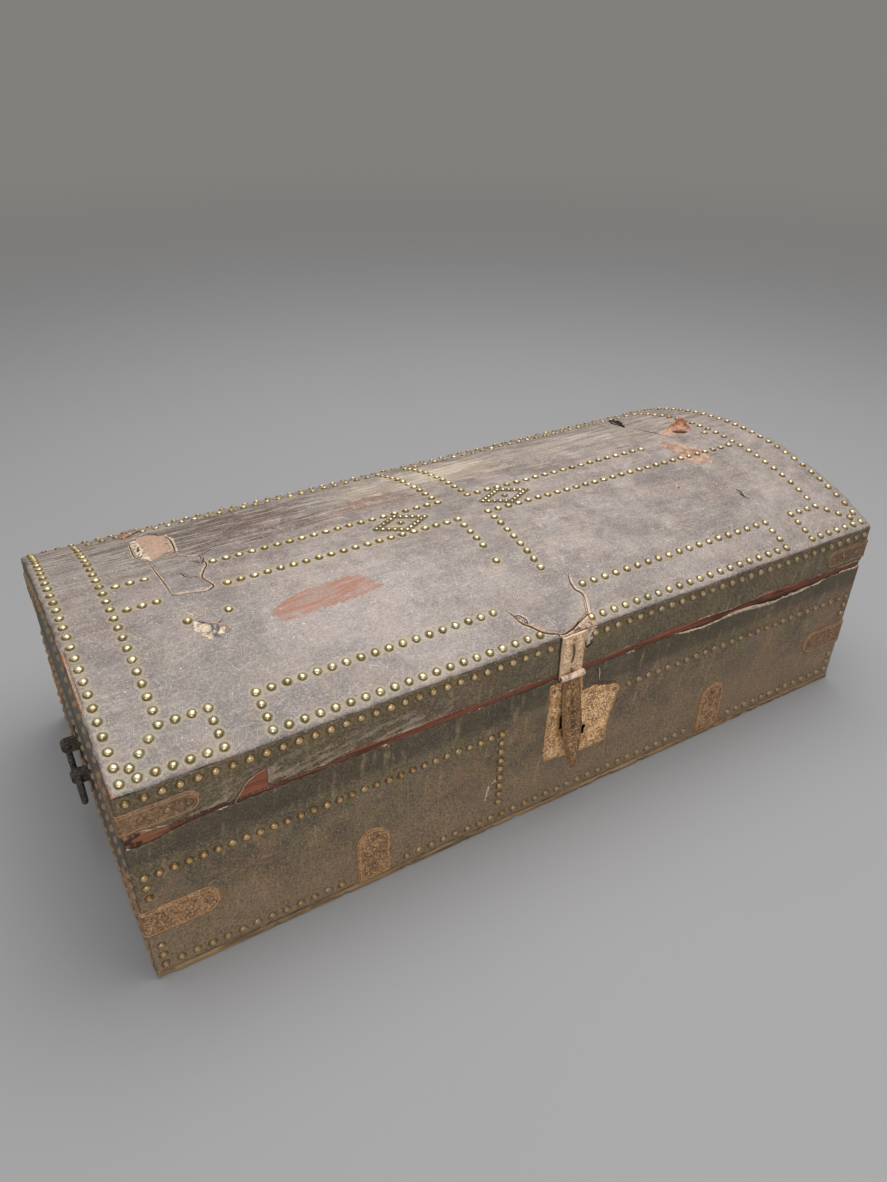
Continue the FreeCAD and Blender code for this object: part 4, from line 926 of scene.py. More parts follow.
def hide_finish(name, colours, lid):
    """Worn leather: mottled, grained and scratched, with grime round the nails. Marks give, in
    millimetres, the depth inside bare, stained and pale places and the distance from tears."""
    finish = Finish(name, lid)
    # The lid's colours are paler and greyer than the walls' partly because they hold painted sheen.
    warm, cool, worn, hollow = (
        (shade(164, 140, 120), shade(122, 118, 110), shade(206, 194, 186), shade(58, 50, 46))
        if lid else
        (shade(138, 106, 78), shade(112, 101, 60), shade(172, 150, 122), shade(40, 33, 25)))
    patchy = finish.grain(24, 6, 0.7, distort=0.4)
    fine, grit = finish.grain(3.0, 7, 0.8), finish.grain(1.3, 3, 0.7)
    tone = finish.grain(130, 4, 0.6, distort=0.7) * 0.5 + patchy * 0.5
    finish.base = opaque(colours.lid_hide_dark if lid else colours.body_hide_dark)
    finish.coat(tone.step(0.4, 0.6), opaque(colours.lid_hide if lid else colours.body_hide))
    finish.coat(finish.grain(50, 7, 0.7).step(0.48, 0.6) * (0.28 if lid else 0.7), warm)
    finish.coat(finish.grain(30, 6, 0.7).step(0.5, 0.6) * (0.5 if lid else 0.7), cool)
    if lid:
        lid_wear_and_shade(finish)
        specks, speck_share = fine * 0.4 + grit * 0.6, 0.55
    else:
        # band is a painted shadow just under the seam; pale specks thin out in it.
        band = finish.z.step(SEAM - 44 * MM, SEAM - 32 * MM) \
            * finish.z.step(SEAM - 1.5 * MM, SEAM - 2.5 * MM)
        wall_wear_and_shade(finish, patchy, band)
        specks, speck_share = fine * 0.7 + grit * 0.3, 0.85 - band * 0.55
    finish.coat(fine.step(0.5, 0.36) * (0.45 if lid else 0.75), hollow)
    finish.coat(specks.step(0.52, 0.61) * speck_share, worn)
    hairs = sum(finish.lines(*hair, *((0.7, 0.78) if lid else (0.67, 0.75)), 1) for hair in HAIRS)
    hairs = hairs * finish.grain(40, 4).step(0.44, 0.6)
    finish.coat(hairs * (0.5 if lid else 0.34),
                shade(218, 208, 198) if lid else shade(168, 150, 126))
    flecks = finish.cells(9).step(0.13, 0.07) * patchy.step(0.5, 0.58)
    finish.coat(flecks * 0.6, shade(232, 222, 208) if lid else shade(160, 140, 112))

    gap = finish.mark("nail_gap") + (finish.grain(6, 3) - 0.5) * 3
    halo = gap.step(9.2, 7.4) * finish.mark("halo")
    finish.coat(halo * 0.32, shade(176, 162, 112) if lid else shade(140, 122, 70))
    finish.coat(gap.step(6.5, 5.2) * (0.7 if lid else 0.5), shade(50, 40, 30))
    torn, bare, pale, slit = hide_damage(finish, colours, fine)
    finish.set("Base Color", finish.base)
    finish.set("Roughness", finish.add("ShaderNodeMapRange", None, {
        "Value": patchy * 0.6 + fine * 0.4 + bare * 0.4 + pale * 0.4,
        "From Min": 0.35, "From Max": 0.85, "To Min": 0.36 if lid else 0.46, "To Max": 0.74}))
    finish.set("Specular IOR Level", 0.55)
    finish.bump(fine * 0.7 + patchy * 0.9 + grit * 0.3 + torn * bare * 0.8 + pale * 0.4
                - slit * 1.5 - hairs * 0.2, 0.6, 0.9)
    return finish.material


# How far the marks of tears and patches reach, and the depth of places in no patch, in millimetres

TEAR_REACH, PATCH_REACH, OUTSIDE = 30.0, 12.0, -8.0


def tear_marks(across, up, tears):
    """How far each point is from the nearest tear, in millimetres, above zero on its left, and
    how wide that tear is: full along its middle and nothing from its ends on. A width below zero
    is that of a tear without a pale rim."""
    x, y = across / MM, up / MM
    nearest = np.full(np.shape(across), np.inf)
    side, wide = np.ones(np.shape(across)), np.zeros(np.shape(across))
    for path, width in tears:
        line = eased_line(path, 3.0)
        lengths = np.linalg.norm(np.diff(line, axis=0), axis=1)
        for start, end, long, past in zip(line, line[1:], lengths, np.cumsum(lengths)):
            distance, share = run_gap(x, y, start, end)
            closer = distance < nearest
            nearest = np.where(closer, distance, nearest)
            (run_x, run_y), from_x, from_y = end - start, x - start[0], y - start[1]
            side = np.where(closer, np.sign(run_x * from_y - run_y * from_x + 1e-9), side)
            place = (past - long + share * long) / lengths.sum()
            taper = np.clip(place * (1 - place) * 4, 0, 1) ** 0.5
            wide = np.where(closer, width * taper, wide)
    return side * np.minimum(nearest, TEAR_REACH), wide


def region(across, up, outline):
    """How deep each point is inside an outline in millimetres, below zero outside it."""
    return np.clip(depth_in(across, up, in_metres(outline)) / MM, -PATCH_REACH, PATCH_REACH)


TEARS = [
    (LEFT_CRACK, 2.2), (LEFT_BRANCH, 1.6), (RIGHT_CRACK, 2.4), (SMALL_CRACK, -2.6),
    (BACK_TEAR, -2.2), (FLAP_OUTLINE, 1.5), (FLAP_SLITS[0], -2.6), (FLAP_SLITS[1], -2.6),
    ([(-372, 47), (-361, 43), (-340, 52)], -1.0),
    ([(-404, -88), (-396, -96), (-386, -100), (-378, -99)], -1.8),
    ([(-380, 148), (-377, 116), (-383, 69), (-387, 78)], 1.6),
    ([(-425, 160), (-412, 172), (-396, 176), (-381, 150)], 1.5),
    ([(-424, 150), (-427, 120), (-429, 83), (-416, 55)], 1.2),
    (BACK_HOLE, -7.5), *((scratch, 0.5) for scratch in SCRATCHES),
]


def hide_marks(side, lid):
    """Marks that every leather sheet has: the gap to the nearest nail in millimetres, and how
    strong the green grime round it is."""
    spots = spots_on(side, lid)
    halo = {"front": 0.75, "back": 0.3, "left": 0.6, "right": 0.3}[side] * (1 if lid else 0.6)

    def strength(across, up):
        fade = step(0.4 - across / HALF_LENGTH, -0.2, 0.9) if side == "front" else 1
        return halo * fade * np.ones(np.shape(across))
    return {"nail_gap": lambda across, up: nearest_spot(across, up, spots) / MM,
            "halo": strength}


def hide_relief(across, up, spots, wave, seed):
    """The leather's surface: broad and small waves that fade near nails, and a dimple at each."""
    gap = nearest_spot(across, up, spots)
    broad = noise(across, up, 90 * MM, seed) + 0.35 * noise(across, up, 14 * MM, seed + 5, 2)
    return wave * broad * step(gap, 4 * MM, 20 * MM) * 0.8 \
        - 0.45 * MM * np.exp(-(gap / (6.5 * MM)) ** 2)


def dome_surface(across, up, wave):
    """The relief and marks of the lid's top leather."""
    spots = spots_on("dome", True)
    out = hide_relief(across, up, spots, wave, 3)
    tear, wide = tear_marks(across, up, TEARS)
    cut = step(np.abs(wide), 0.5, 1.6)
    out -= 1.5 * MM * np.exp(-(tear / 1.4) ** 2) * cut
    out += 0.7 * MM * np.exp(-((np.abs(tear) - 3.6) / 2) ** 2) * cut

    patch, fray = region(across, up, PINK_PATCH), region(across, up, PINK_FRAY)
    curl_bare = region(across, up, [(396, 40), (404, 62), (432, 70), (446, 52), (440, 30)])
    tongue = step(region(across, up, TONGUE), 0, 5) * step(-up, 200 * MM, 235 * MM)
    back_bare = region(across, up, BACK_BARE)
    crumbs = noise(across, up, 4.5 * MM, 31, 2)
    under_tongue = region(across, up, HASP_BARE)
    bare = np.maximum.reduce([
        patch, np.minimum(back_bare, 2.5) + 4 * noise(across, up, 9 * MM, 33) - 2, curl_bare - 2,
        under_tongue])
    holes = step(noise(across, up, 3.2 * MM, 23, 2), 0.25, 0.5)
    dark = holes * step(fray, -0.5, 1.5) * 0.9 + holes * step(patch, 0, 2) * 0.3
    out -= (step(patch, -1, 2) * 1.1 + step(fray, -1, 2) * holes * 0.8
            + step(back_bare, -1, 4) * 0.5) * MM
    out += (step(region(across, up, FLAP), 0, 7) * 1.3 + tongue * 1.4) * MM

    peel = region(across, up, WHITE_PEEL)
    pale = np.maximum.reduce([
        fray, np.minimum(peel, 3) + 4 * crumbs - 2.6,
        2.2 - line_distance(across, up, in_metres([(-379, 146), (-375, 116), (-381, 72)])) / MM])
    dark += step(np.maximum(peel, under_tongue - 2), -1, 1) * step(-crumbs, 0.15, 0.5) * 0.6
    out += step(peel, -1, 2) * crumbs * 0.9 * MM
    fray_line = noise(across, up * 0, 34 * MM, 42)
    from_back = (HALF_ARC - up) / MM
    pale = np.maximum(pale, 3.5 + 2 * fray_line - from_back)
    end = (HALF_LENGTH - np.abs(across)) / MM
    worn_stretch = step(np.abs(up + 120 * MM), 54 * MM, 44 * MM) + step(-up, 250 * MM, 262 * MM)
    raw = np.where(across < 0, 3.2 * worn_stretch - 1.6 - end
                   + 2.0 * noise(up, across * 0, 22 * MM, 43), -5)
    rim = np.minimum(end, (HALF_ARC - np.abs(up)) / MM)
    out -= 1.1 * MM * np.exp(-(rim / 1.6) ** 2)
    return out, {
        "nail_gap": nearest_spot(across, up, spots) / MM, "dark": dark,
        "halo": 0.25 + 0.75 * step(0.5 - across / HALF_LENGTH, -0.3, 0.9), "bare": bare,
        "stain": np.maximum(region(across, up, RED_STAIN), back_bare - 3),
        "pale": np.clip(pale, -8, 8), "raw": np.clip(raw, -8, 8), "tear": tear, "tear_wide": wide}


class TRUNK_OT_lid_top(bpy.types.Operator):
    """Build the leather over the dome, with its waves, tears, cracks and stains"""
    bl_idname = "trunk.lid_top"
    bl_label = "Lid Top Leather"

    def execute(self, context):
        wear, colours = choices(context)
        across = spaced(-HALF_LENGTH, HALF_LENGTH, 3.9 * MM, 1.8 * MM,
                        in_metres([(-432, -352), (-70, 54), (386, 444)]))
        up = spaced(-HALF_ARC, HALF_ARC, 3.5 * MM, 1.8 * MM,
                    in_metres([(-267, -205), (-46, 66), (150, 172)]))
        across, up = np.meshgrid(across, up, indexing="ij")
        out, marks = dome_surface(across, up, wear.hide_wave)
        ragged = wear.ragged_edge * noise(across, up, 12 * MM, 51)
        near_end = np.exp(-(HALF_LENGTH - np.abs(across)) / (3 * MM))
        near_edge = np.exp(-(HALF_ARC - np.abs(up)) / (3 * MM))
        across = across + np.sign(across) * (ragged - 0.6 * MM) * near_end
        up = up + np.sign(up) * (ragged * 0.6) * near_edge
        solid = closed_sheet(on_dome, across, up, out, -LEATHER, marks)
        add_piece("lid_top_hide", solid, hide_finish("lid_hide", colours, True), "lid",
                  ["lid_top_leather"])
        return {"FINISHED"}


def wall_hide(side, lid, low, high, half, wave, ragged, pitch, holes=(), tint=None):
    """A wall's leather between a low and a high edge line, with ragged rims and any holes."""
    spots = spots_on(side, lid)
    seed = 60 + sum(map(ord, side)) + 7 * lid

    def keep(across, up):
        wander = ragged * noise(across, up, 8 * MM, seed)
        depth = np.minimum(high(across) - up, up - low(across)) + wander - ragged * 0.5
        depth = np.minimum(depth, half - np.abs(across) + wander * 0.3)
        for hole in holes:
            depth = np.minimum(depth, wander * 0.3 - depth_in(across, up, hole))
        return depth

    def top(across, up, depth):
        rolled = 0.9 * MM * np.exp(-(depth / (1.2 * MM)) ** 2)
        return hide_relief(across, up, spots, wave, seed + 3) - rolled

    def back(across, up, depth):
        over_lip = step(up, BODY_TOP - 1.5 * MM, BODY_TOP) if side == "front" and not lid else 0
        return -LEATHER * 0.96 + 1.6 * MM * over_lip + 0 * across
    kept = {name: (lambda across, up, depth, mark=mark: mark(across, up))
            for name, mark in {**hide_marks(side, lid), **(tint or {})}.items()}
    for name in ("bare", "stain", "pale", "raw"):
        kept.setdefault(name, lambda across, up, depth: OUTSIDE + 0 * across)
    middle = np.zeros(1)
    rows = spaced(low(middle)[0] - 22 * MM, high(middle)[0] + 9 * MM, pitch)
    columns = spaced(-half - 3 * MM, half + 3 * MM, pitch)
    return cut_plate(SEATS[side], keep, columns, rows, top, back, kept)


def level_line(level):
    """An edge line at one height."""
    return lambda across: level + 0 * across


def arch_line(lower):
    """An edge line along the dome's arc, a little below it."""
    return lambda across: DOME_CENTRE + np.sqrt((DOME_RADIUS - lower) ** 2 - across ** 2)


def along(across, size, seed):
    """Noise along a sheet, the same at every height."""
    return noise(across, 0 * across, size, seed)


def front_flange_tint():
    """Frayed fibres along the flange's lower edge, a groove under the top leather's edge, the
    tongue's undercut beside the hasp, and a worn row of small holes on the right."""
    holes = in_metres([(127, 233), (146, 235), (162, 237.5), (180, 237), (196, 236.5), (214, 236),
                       (234, 235.5), (255, 235), (276, 234), (297, 233.5), (318, 233),
                       (336, 232), (353, 231.5), (370, 231), (385, 230.5)])

    clump = [(18, 286), (38, 286), (40, 274), (32, 260), (24, 252), (19, 262)]

    def pale(across, up):
        above = (up - edge_line(FLANGE_EDGE, across)) / MM
        on_left = step(-across, -0.02, 0.06)
        frayed = 0.2 + on_left * 1.6 + 3.4 * along(across, 40 * MM, 71) - above
        return np.maximum(frayed, region(across, up, clump) + 4 * noise(across, up, 4 * MM, 79) - 1)

    def dark(across, up):
        groove = np.exp(-((up - 277.5 * MM + 1.2 * MM * along(across, 30 * MM, 72))
                          / (1.1 * MM)) ** 2)
        gap = nearest_spot(across, up, np.array(holes))
        beside = np.exp(-((across + 17.8 * MM) / (1.4 * MM)) ** 2)
        crumbs = step(region(across, up, clump), -2, 1) \
            * step(-noise(across, up, 4 * MM, 79), 0.1, 0.5) * 0.6
        hole = step(region(across, up, [(22, 255), (34, 259), (31, 254), (24, 251)]), -1, 0.5)
        return np.maximum.reduce([0.6 * groove, 0.9 * np.exp(-(gap / (1.9 * MM)) ** 2), beside,
                                  crumbs, hole])

    def bare(across, up):
        return region(across, up, [(16, 284), (30, 284), (24, 272), (20, 262)])
    return {"pale": pale, "dark": dark, "bare": bare}


def body_front_tint():
    """A torn pale edge along the top on the right, scuffs, and dirt along the foot."""
    scuff = in_metres([(-117, 58), (-113, 80), (-103, 87)])

    def pale(across, up):
        below = (edge_line(BODY_EDGE, across) - up) / MM
        torn = 1.6 + 3.5 * along(across, 36 * MM, 75) - below - 4 * step(0.17 - across, 0, 0.03)
        return np.maximum(torn, 1.4 - line_distance(across, up, scuff) / MM)

    def dark(across, up):
        return 0.55 * step(-up, -21 * MM, -8 * MM) * step(noise(across, up, 30 * MM, 76), 0, 0.6)
    return {"pale": pale, "dark": dark}


def end_tint():
    """A raw red-brown edge of layers under the dome on the left end."""
    def raw(across, up):
        arc = (DOME_CENTRE + np.sqrt(DOME_RADIUS ** 2 - across ** 2) - up) / MM
        place = step(-across, 0.06, 0.08) * step(across, -0.19, -0.16)
        return 5 * place + 2 * along(across, 20 * MM, 77) - arc
    return {"raw": raw}


class TRUNK_OT_wall_leather(bpy.types.Operator):
    """Build the leather on the four walls of the body and the four of the lid"""
    bl_idname = "trunk.wall_leather"
    bl_label = "Wall Leather"

    def execute(self, context):
        wear, colours = choices(context)
        wave, ragged = wear.hide_wave * 0.8, wear.ragged_edge
        finish = hide_finish("body_hide", colours, False)
        floor, seam = level_line(FLOOR_TOP - 0.4 * MM), level_line(SEAM)
        base, arch = level_line(LID_BASE + 0.5 * MM), arch_line(LEATHER + 0.4 * MM)
        under = level_line(LID_EDGE - LEATHER * 0.6)
        end_half = HALF_DEPTH - LEATHER
        (left, _, bottom), (right, _, top) = extent("lock_case")
        case = [(left, bottom), (right, bottom), (right, top), (left, top)]
        sheets = [
            ("front", False, floor, lambda a: edge_line(BODY_EDGE, a) + 0.6 * MM, HALF_LENGTH,
             2.5, (case,), body_front_tint(), "front_leather"),
            ("back", False, floor, seam, HALF_LENGTH, 4.5, (), None, "back_leather"),
            ("left", False, floor, seam, end_half, 3, (), None, "left_end_leather"),
            ("right", False, floor, seam, end_half, 3.5, (), None, "right_end_leather"),
            ("front", True, lambda a: edge_line(FLANGE_EDGE, a), under, HALF_LENGTH, 1.8,
             (in_metres(FLANGE_HOLE),), front_flange_tint(), "lid_front_leather"),
            ("back", True, base, under, HALF_LENGTH, 4, (), None, "lid_back_leather"),
            ("left", True, base, arch, end_half, 2.5, (), end_tint(), "lid_left_leather"),
            ("right", True, base, arch, end_half, 3, (), None, "lid_right_leather"),
        ]
        for side, lid, low, high, half, pitch, holes, tint, node in sheets:
            solid = wall_hide(side, lid, low, high, half, wave, ragged, pitch * MM, holes, tint)
            add_piece(node.replace("leather", "hide"), solid, finish,
                      "lid" if lid else "trunk_body",
                      [node])
        return {"FINISHED"}


class TRUNK_OT_torn_edges(bpy.types.Operator):
    """Build the curled lips of the cracks and tears, and the frayed fibres along the seam"""
    bl_idname = "trunk.torn_edges"
    bl_label = "Torn Edges"

    def execute(self, context):
        colours = context.scene.trunk_colours
        finish = hide_finish("torn_hide", colours, True)
        common = {"nail_gap": SPOT_REACH / MM, "tear": TEAR_REACH, "bare": OUTSIDE,
                  "pale": OUTSIDE, "raw": OUTSIDE, "stain": -PATCH_REACH}
        pale, red, plain, tan = ({**common, "pale": 6.0}, {**common, "raw": 6.0}, common,
                                 {**common, "bare": 6.0})
        shadow = {**common, "dark": 1.0}
        lips = [
            (LEFT_CRACK[1:6], 1.3, 0.7, tan, 1), (RIGHT_CRACK[3:8], 1.4, 0.8, pale, -1),
            (FLAP_SLITS[0], 3.6, 1.9, plain, 1), (FLAP_SLITS[1], 3.4, 1.8, plain, 1),
            (CORNER_FLAP, 8.0, 1.5, plain, 1), (CORNER_FLAP, 4.0, 1.0, tan, -1),
            ([(-425, 178), (-420, 190), (-410, 199)], 7.0, 1.9, red, 1),
            ([(430, 62), (438, 52), (448, 46), (458, 38)], 20.0, 1.9, red, 1),
            ([(428, 50), (437, 42), (447, 34)], 10.0, 1.3, red, -1),
            (BACK_HOLE, 7.0, 1.5, shadow, 1), (BACK_HOLE[1:4], 4.0, 1.1, tan, -1),
            ([(-548, -75), (-549, -120), (-548, -166)], 4.0, 1.4, tan, 1),
            ([(-545.5, -96), (-546.5, -130), (-545, -158)], 2.4, 1.9, plain, 1),
            ([(-544, -70), (-547, -104), (-547, -140)], 2.2, 1.6, red, 1),
            (PINK_PATCH[2:4] + [(-383, 75)], 2.4, 1.7, pale, 1),
            ([(-412, 169), (-396, 174), (-381, 148)], 2.6, 1.5, plain, 1),
            (FLAP[2:8], 1.5, 0.6, plain, -1), (WHITE_PEEL[1:5], 2.2, 1.3, tan, 1),
        ]
        solids = [torn_lip(on_dome, path, width, curl, 0.9, 0.1, side, seed, marks)
                  for seed, (path, width, curl, marks, side) in enumerate(lips)]
        solids.append(torn_lip(on_front, FLANGE_HOLE[:6], 1.8, 0.8, 0.8, 0.1, 1, 30, tan))
        flange = sorted(FLANGE_EDGE)
        on_the_left = [point for point in flange if point[0] < -20]
        solids += [fringe(on_front, flange, 150, 3.2, plain, 31, 0.6, -0.9),
                   fringe(on_front, on_the_left, 110, 3.6, tan, 32, 0.5, -0.9)]
        add_piece("lid_torn_edges", joined(solids), finish, "lid")
        torn_top = [(x, z + 1) for x, z in sorted(BODY_EDGE) if 170 < x < 480]
        body = [torn_lip(on_front, torn_top[start:start + 3], 2.2, 0.9, 0.8, 0.1, -1, 40, pale)
                for start in range(0, len(torn_top) - 2, 2)]
        body.append(fringe(on_front, torn_top, 60, 4, pale, 33, 0.7, -0.2))
        body.append(torn_lip(on_front, [(47.6, 214), (49.8, 205), (50, 198), (52, 191)], 1.5, 0.5,
                             0.9, 1.0, 1, 41, pale))
        add_piece("body_torn_edges", joined(body), finish, "trunk_body")
        return {"FINISHED"}


# Iron

# A dark colour for pits and hollows, and for painted shadow.
HOLLOW_AND_SHADOW = shade(44, 28, 18)


def rust_finish(name, main, dark, light, speckle=0.5, line=0.0):
    """Rusted iron: grains and flakes of a dark and a light rust over a main colour, and a worn
    edge. Above zero, line adds a pale line a little inside the edge and dulls the right end;
    otherwise the edge is darker. The rim mark is 8 at an edge and falls by 1 for each millimetre
    inside it. The hollow mark is 1 in pits, and high where painted shadow lies on the lock plate."""
    finish = Finish(name, False)
    broad = finish.grain(20, 5, 0.65, distort=0.5)
    grains = finish.grain(2.5, 7, 0.8)
    grit = finish.grain(1.2, 3, 0.7) * 0.5 + grains * 0.5
    patches = finish.grain(8, 6, 0.7, distort=0.6)
    rim = finish.mark("rim")
    finish.base = dark
    finish.coat(broad.step(0.4, 0.6), main)
    finish.coat(grains.step(0.49, 0.54) * speckle, light)
    finish.coat(patches.step(0.5, 0.62) * 0.75, dark)
    finish.coat(grains.step(0.47, 0.38) * 0.6, finish.mix(0.3, dark, HOLLOW_AND_SHADOW))
    finish.coat(grit.step(0.53, 0.6) * speckle * 1.1,
                finish.mix(0.6, light, shade(250, 232, 204)))
    if line:
        finish.coat(finish.x.step(0.3, 0.5) * 0.4, shade(86, 68, 52))
        finish.coat(abs(rim - 4.3 + (grains - 0.5)).step(0.9, 0.3) * line, light)
        finish.coat(abs(rim - 3.1).step(0.7, 0.3) * line * 0.5, dark)
    else:
        edge = (rim + (patches - 0.5) * 14).step(0.5, 6)
        finish.coat(edge * 0.6, finish.mix(0.7, main, dark))
    finish.coat(rim.step(6.6, 7.8) * 0.6, finish.mix(0.5, dark, light))
    finish.coat((finish.mark("hollow") + (grit - 0.5)).step(0.3, 0.8) * 0.85, HOLLOW_AND_SHADOW)
    finish.set("Base Color", finish.base)
    finish.set("Roughness", grains.step(0.2, 0.8) * 0.3 + 0.5)
    finish.set("Metallic", 0.1)
    finish.bump(grains + finish.cells(3.6, "SMOOTH_F1") * 0.35 + broad * 0.4, 0.6)
    return finish.material


def iron_plate(seat, keep, across, up, iron, pitting, seed, pits, hollow, rim_line=0.0,
               back_level=0.0, swell=None):
    """A rusted plate cut from a grid: its iron, less pits and flakes, an edge that is eaten
    thinner, a raised line a little inside it, and any swelling, with marks for rim and hollows; the
    hollows carry any painted shadow that the hollow function gives."""
    def top(x, y, depth):
        worn = 0.5 * noise(x, y, 5 * MM, seed) + 0.35 * noise(x, y, 17 * MM, seed + 1, 2)
        bevel = np.clip(depth / (1.1 * MM), 0, 1)
        line = rim_line * np.exp(-((depth - 3.6 * MM) / (0.9 * MM)) ** 2)
        return iron * (0.45 + 0.55 * np.sqrt(bevel)) + pitting * worn * bevel + line \
            + (swell(x, y) if swell else 0)

    def deep(x, y, depth):
        return pits * step(-noise(x, y, 5 * MM, seed), 0.5, 0.9) + hollow(x, y)
    return cut_plate(seat, keep, across, up, top, lambda x, y, depth: back_level + 0 * x,
                     {"rim": lambda x, y, depth: np.clip(8 - depth / MM, 0, 8), "hollow": deep})


def rounded_end(across, up, reach, half):
    """Signed depth in a strip centred on up zero, whose far end at reach is a half circle."""
    past = np.maximum(np.abs(across) - (reach - half), 0)
    return half - np.hypot(past, up)


def iron_hollows(seat):
    """A function for the hollow mark of a sheet on a seat: dark rings round its iron nails."""
    nails = [SEATS[side](*found[:, :2].T, 0.0) for node in IRON_NODES
             for side, found in NAILS[node].items()]
    nails = np.concatenate(nails)

    def hollow(across, up):
        points = seat(across, up, 0.0)
        near = nails[(np.abs(nails - points.mean(0)) < 0.2).all(-1)]
        gap = np.full(np.shape(across), 1.0)
        for nail in near:
            gap = np.minimum(gap, np.linalg.norm(points - nail, axis=-1))
        return 0.75 * np.exp(-((gap - 3.9 * MM) / (0.9 * MM)) ** 2)
    return hollow


class TRUNK_OT_straps(bpy.types.Operator):
    """Build the eight corner straps and the two upright foot straps"""
    bl_idname = "trunk.straps"
    bl_label = "Iron Straps"

    def execute(self, context):
        wear, colours = choices(context)
        main = opaque(colours.strap_rust)
        body_finish = rust_finish("strap_rust", main, shade(108, 76, 50), shade(204, 158, 108),
                                  0.6, 0.7)
        lid_finish = rust_finish("lid_strap_rust", shade(142, 108, 76), shade(102, 76, 54),
                                 shade(178, 142, 102), 0.35, 0.8)
        bend = 1.6 * MM
        spared = bend * (1 - math.pi / 4)
        for node in sorted(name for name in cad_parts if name.endswith("_strap")):
            low, high = extent(node)
            upright = "foot" in node
            axis = 0 if upright else 2
            middle, half = (low[axis] + high[axis]) / 2, (high[axis] - low[axis]) / 2
            if upright:
                seat, pitch, place = on_front, 1.1 * MM, (low[0], high[0])
            else:
                face = -1 if "front" in node else 1
                side = -1 if "left" in node else 1
                seat, pitch = round_corner(side, face, bend), 1.25 * MM
                reach = high[0] - low[0] - STRAP_IRON - spared
                place = (-reach, reach)
            seed = 100 + sum(map(ord, node)) % 90

            def keep(across, up):
                worn = 0.5 * MM * noise(across, up, 6 * MM, seed) - 0.3 * MM
                if upright:
                    strip = rounded_end(up - low[2], across - middle, high[2] - low[2], half)
                    return np.minimum(strip, up - low[2]) + worn
                return rounded_end(across, up - middle, reach, half) + worn
            solid = iron_plate(
                seat, keep, spaced(place[0] - 2 * MM, place[1] + 2 * MM, pitch, 0.5 * MM,
                                   [] if upright else [(-2 * MM, 2 * MM)]),
                spaced(low[2] - 2 * MM, high[2] + 2 * MM, pitch), STRAP_IRON, wear.pitting * 0.7,
                seed, 0.2, iron_hollows(seat), 0.6 * MM, -0.3 * MM)
            on_lid = node.startswith("lid")
            add_piece(node + "_iron", solid, lid_finish if on_lid else body_finish,
                      "lid" if on_lid else "trunk_body", [node])
        return {"FINISHED"}


# Lock plate, hasp leaf and blade

PLATE_OUTLINE = [(-28, 212), (-27.4, 188), (-29.3, 150), (-31.1, 93), (-26.8, 83.7), (32.7, 74),
                 (76.7, 77.5), (76.7, 108.5), (82.3, 136), (91, 165), (78.6, 179), (53.8, 188),
                 (27.8, 184.5), (24, 212)]

# In millimetres: what the plate's grid spans across and up, the slot's middle and half sizes, and
# the keyhole's middle, the radius of its round, and the half width and drop of its slot

PLATE_GRID = ((-36, 96), (70, 216))
SLOT = (-4.0, 143.0, 3.0, 12.0)
KEYHOLE = (33.2, 118.0, 4.6, 2.8, 12.0)


def box_depth(across, up, middle_x, middle_y, half_x, half_y):
    """Signed depth in a rectangle, above zero inside."""
    return np.minimum(half_x - np.abs(across - middle_x), half_y - np.abs(up - middle_y))


def plate_keep(across, up):
    """The lock plate's ragged outline, less its slot and its keyhole."""
    x, y = across / MM, up / MM
    depth = depth_in(x, y, PLATE_OUTLINE) + 1.6 * noise(across, up, 9 * MM, 201) \
        + 0.7 * noise(across, up, 2.6 * MM, 202) - 0.7
    slot = box_depth(x, y, *SLOT)
    hole_x, hole_y, radius, half, drop = KEYHOLE
    keyhole = np.maximum(radius - np.hypot(x - hole_x, y - hole_y),
                         box_depth(x, y, hole_x, hole_y - drop / 2, half, drop / 2))
    return np.minimum(depth, -np.maximum(slot, keyhole)) * MM


def plate_flakes_and_shadow(across, up):
    """Darker flakes along the plate's torn top edge on the right, with painted shadow there too,
    down its left side beside the slot, and under the blade."""
    inner = depth_in(across / MM, up / MM, PLATE_OUTLINE)
    wander = 5 * noise(across, up, 8 * MM, 207)
    # Painted shadow, with flakes, along the top edge on the right.
    top = step(up, 166 * MM, 180 * MM) * step(7 - inner + wander, 0, 5) * step(
        across, 20 * MM, 34 * MM)
    lane = np.exp(-((across + 1 * MM + wander * 0.3 * MM) / (6 * MM)) ** 2) * step(
        up, 90 * MM, 120 * MM)
    return 0.75 * top + 0.5 * lane + 0.5 * step(2.2 - inner + wander * 0.25, 0, 2)


def hasp_seat(across, up, out):
    """The hasp leaf as one sheet: flat on the lid above the pin, and rolled round the pin below
    it, where up below zero turns about the pin's line."""
    radius = -HALF_DEPTH - HASP_LINE_Y
    turn = np.clip(-up, 0, None) / radius
    rise = np.clip(up, 0, None)
    y = HASP_LINE_Y + (radius - out) * np.cos(turn)
    z = HASP_LINE_Z + rise - (radius - out) * np.sin(turn)
    return points_at(across, y, z)


BLADE_TURN = math.radians(-9)
BLADE_INNER = 2.1 * MM
BLADE_IRON = 2.6 * MM
BLADE_HALF = [(6.2, 0), (6.2, -6), (13, -6), (14.6, -34), (15.6, -64), (15, -88), (12, -107),
              (8, -123), (2.6, -140)]
BLADE_OUTLINE = BLADE_HALF + [(-x, z) for x, z in reversed(BLADE_HALF)]
STAPLE_PATH = [(1.5, -82.8), (-8.4, -82.8), (-10.4, -80.8), (-10.4, -73.2), (-8.4, -71.2),
               (1.5, -71.2)]


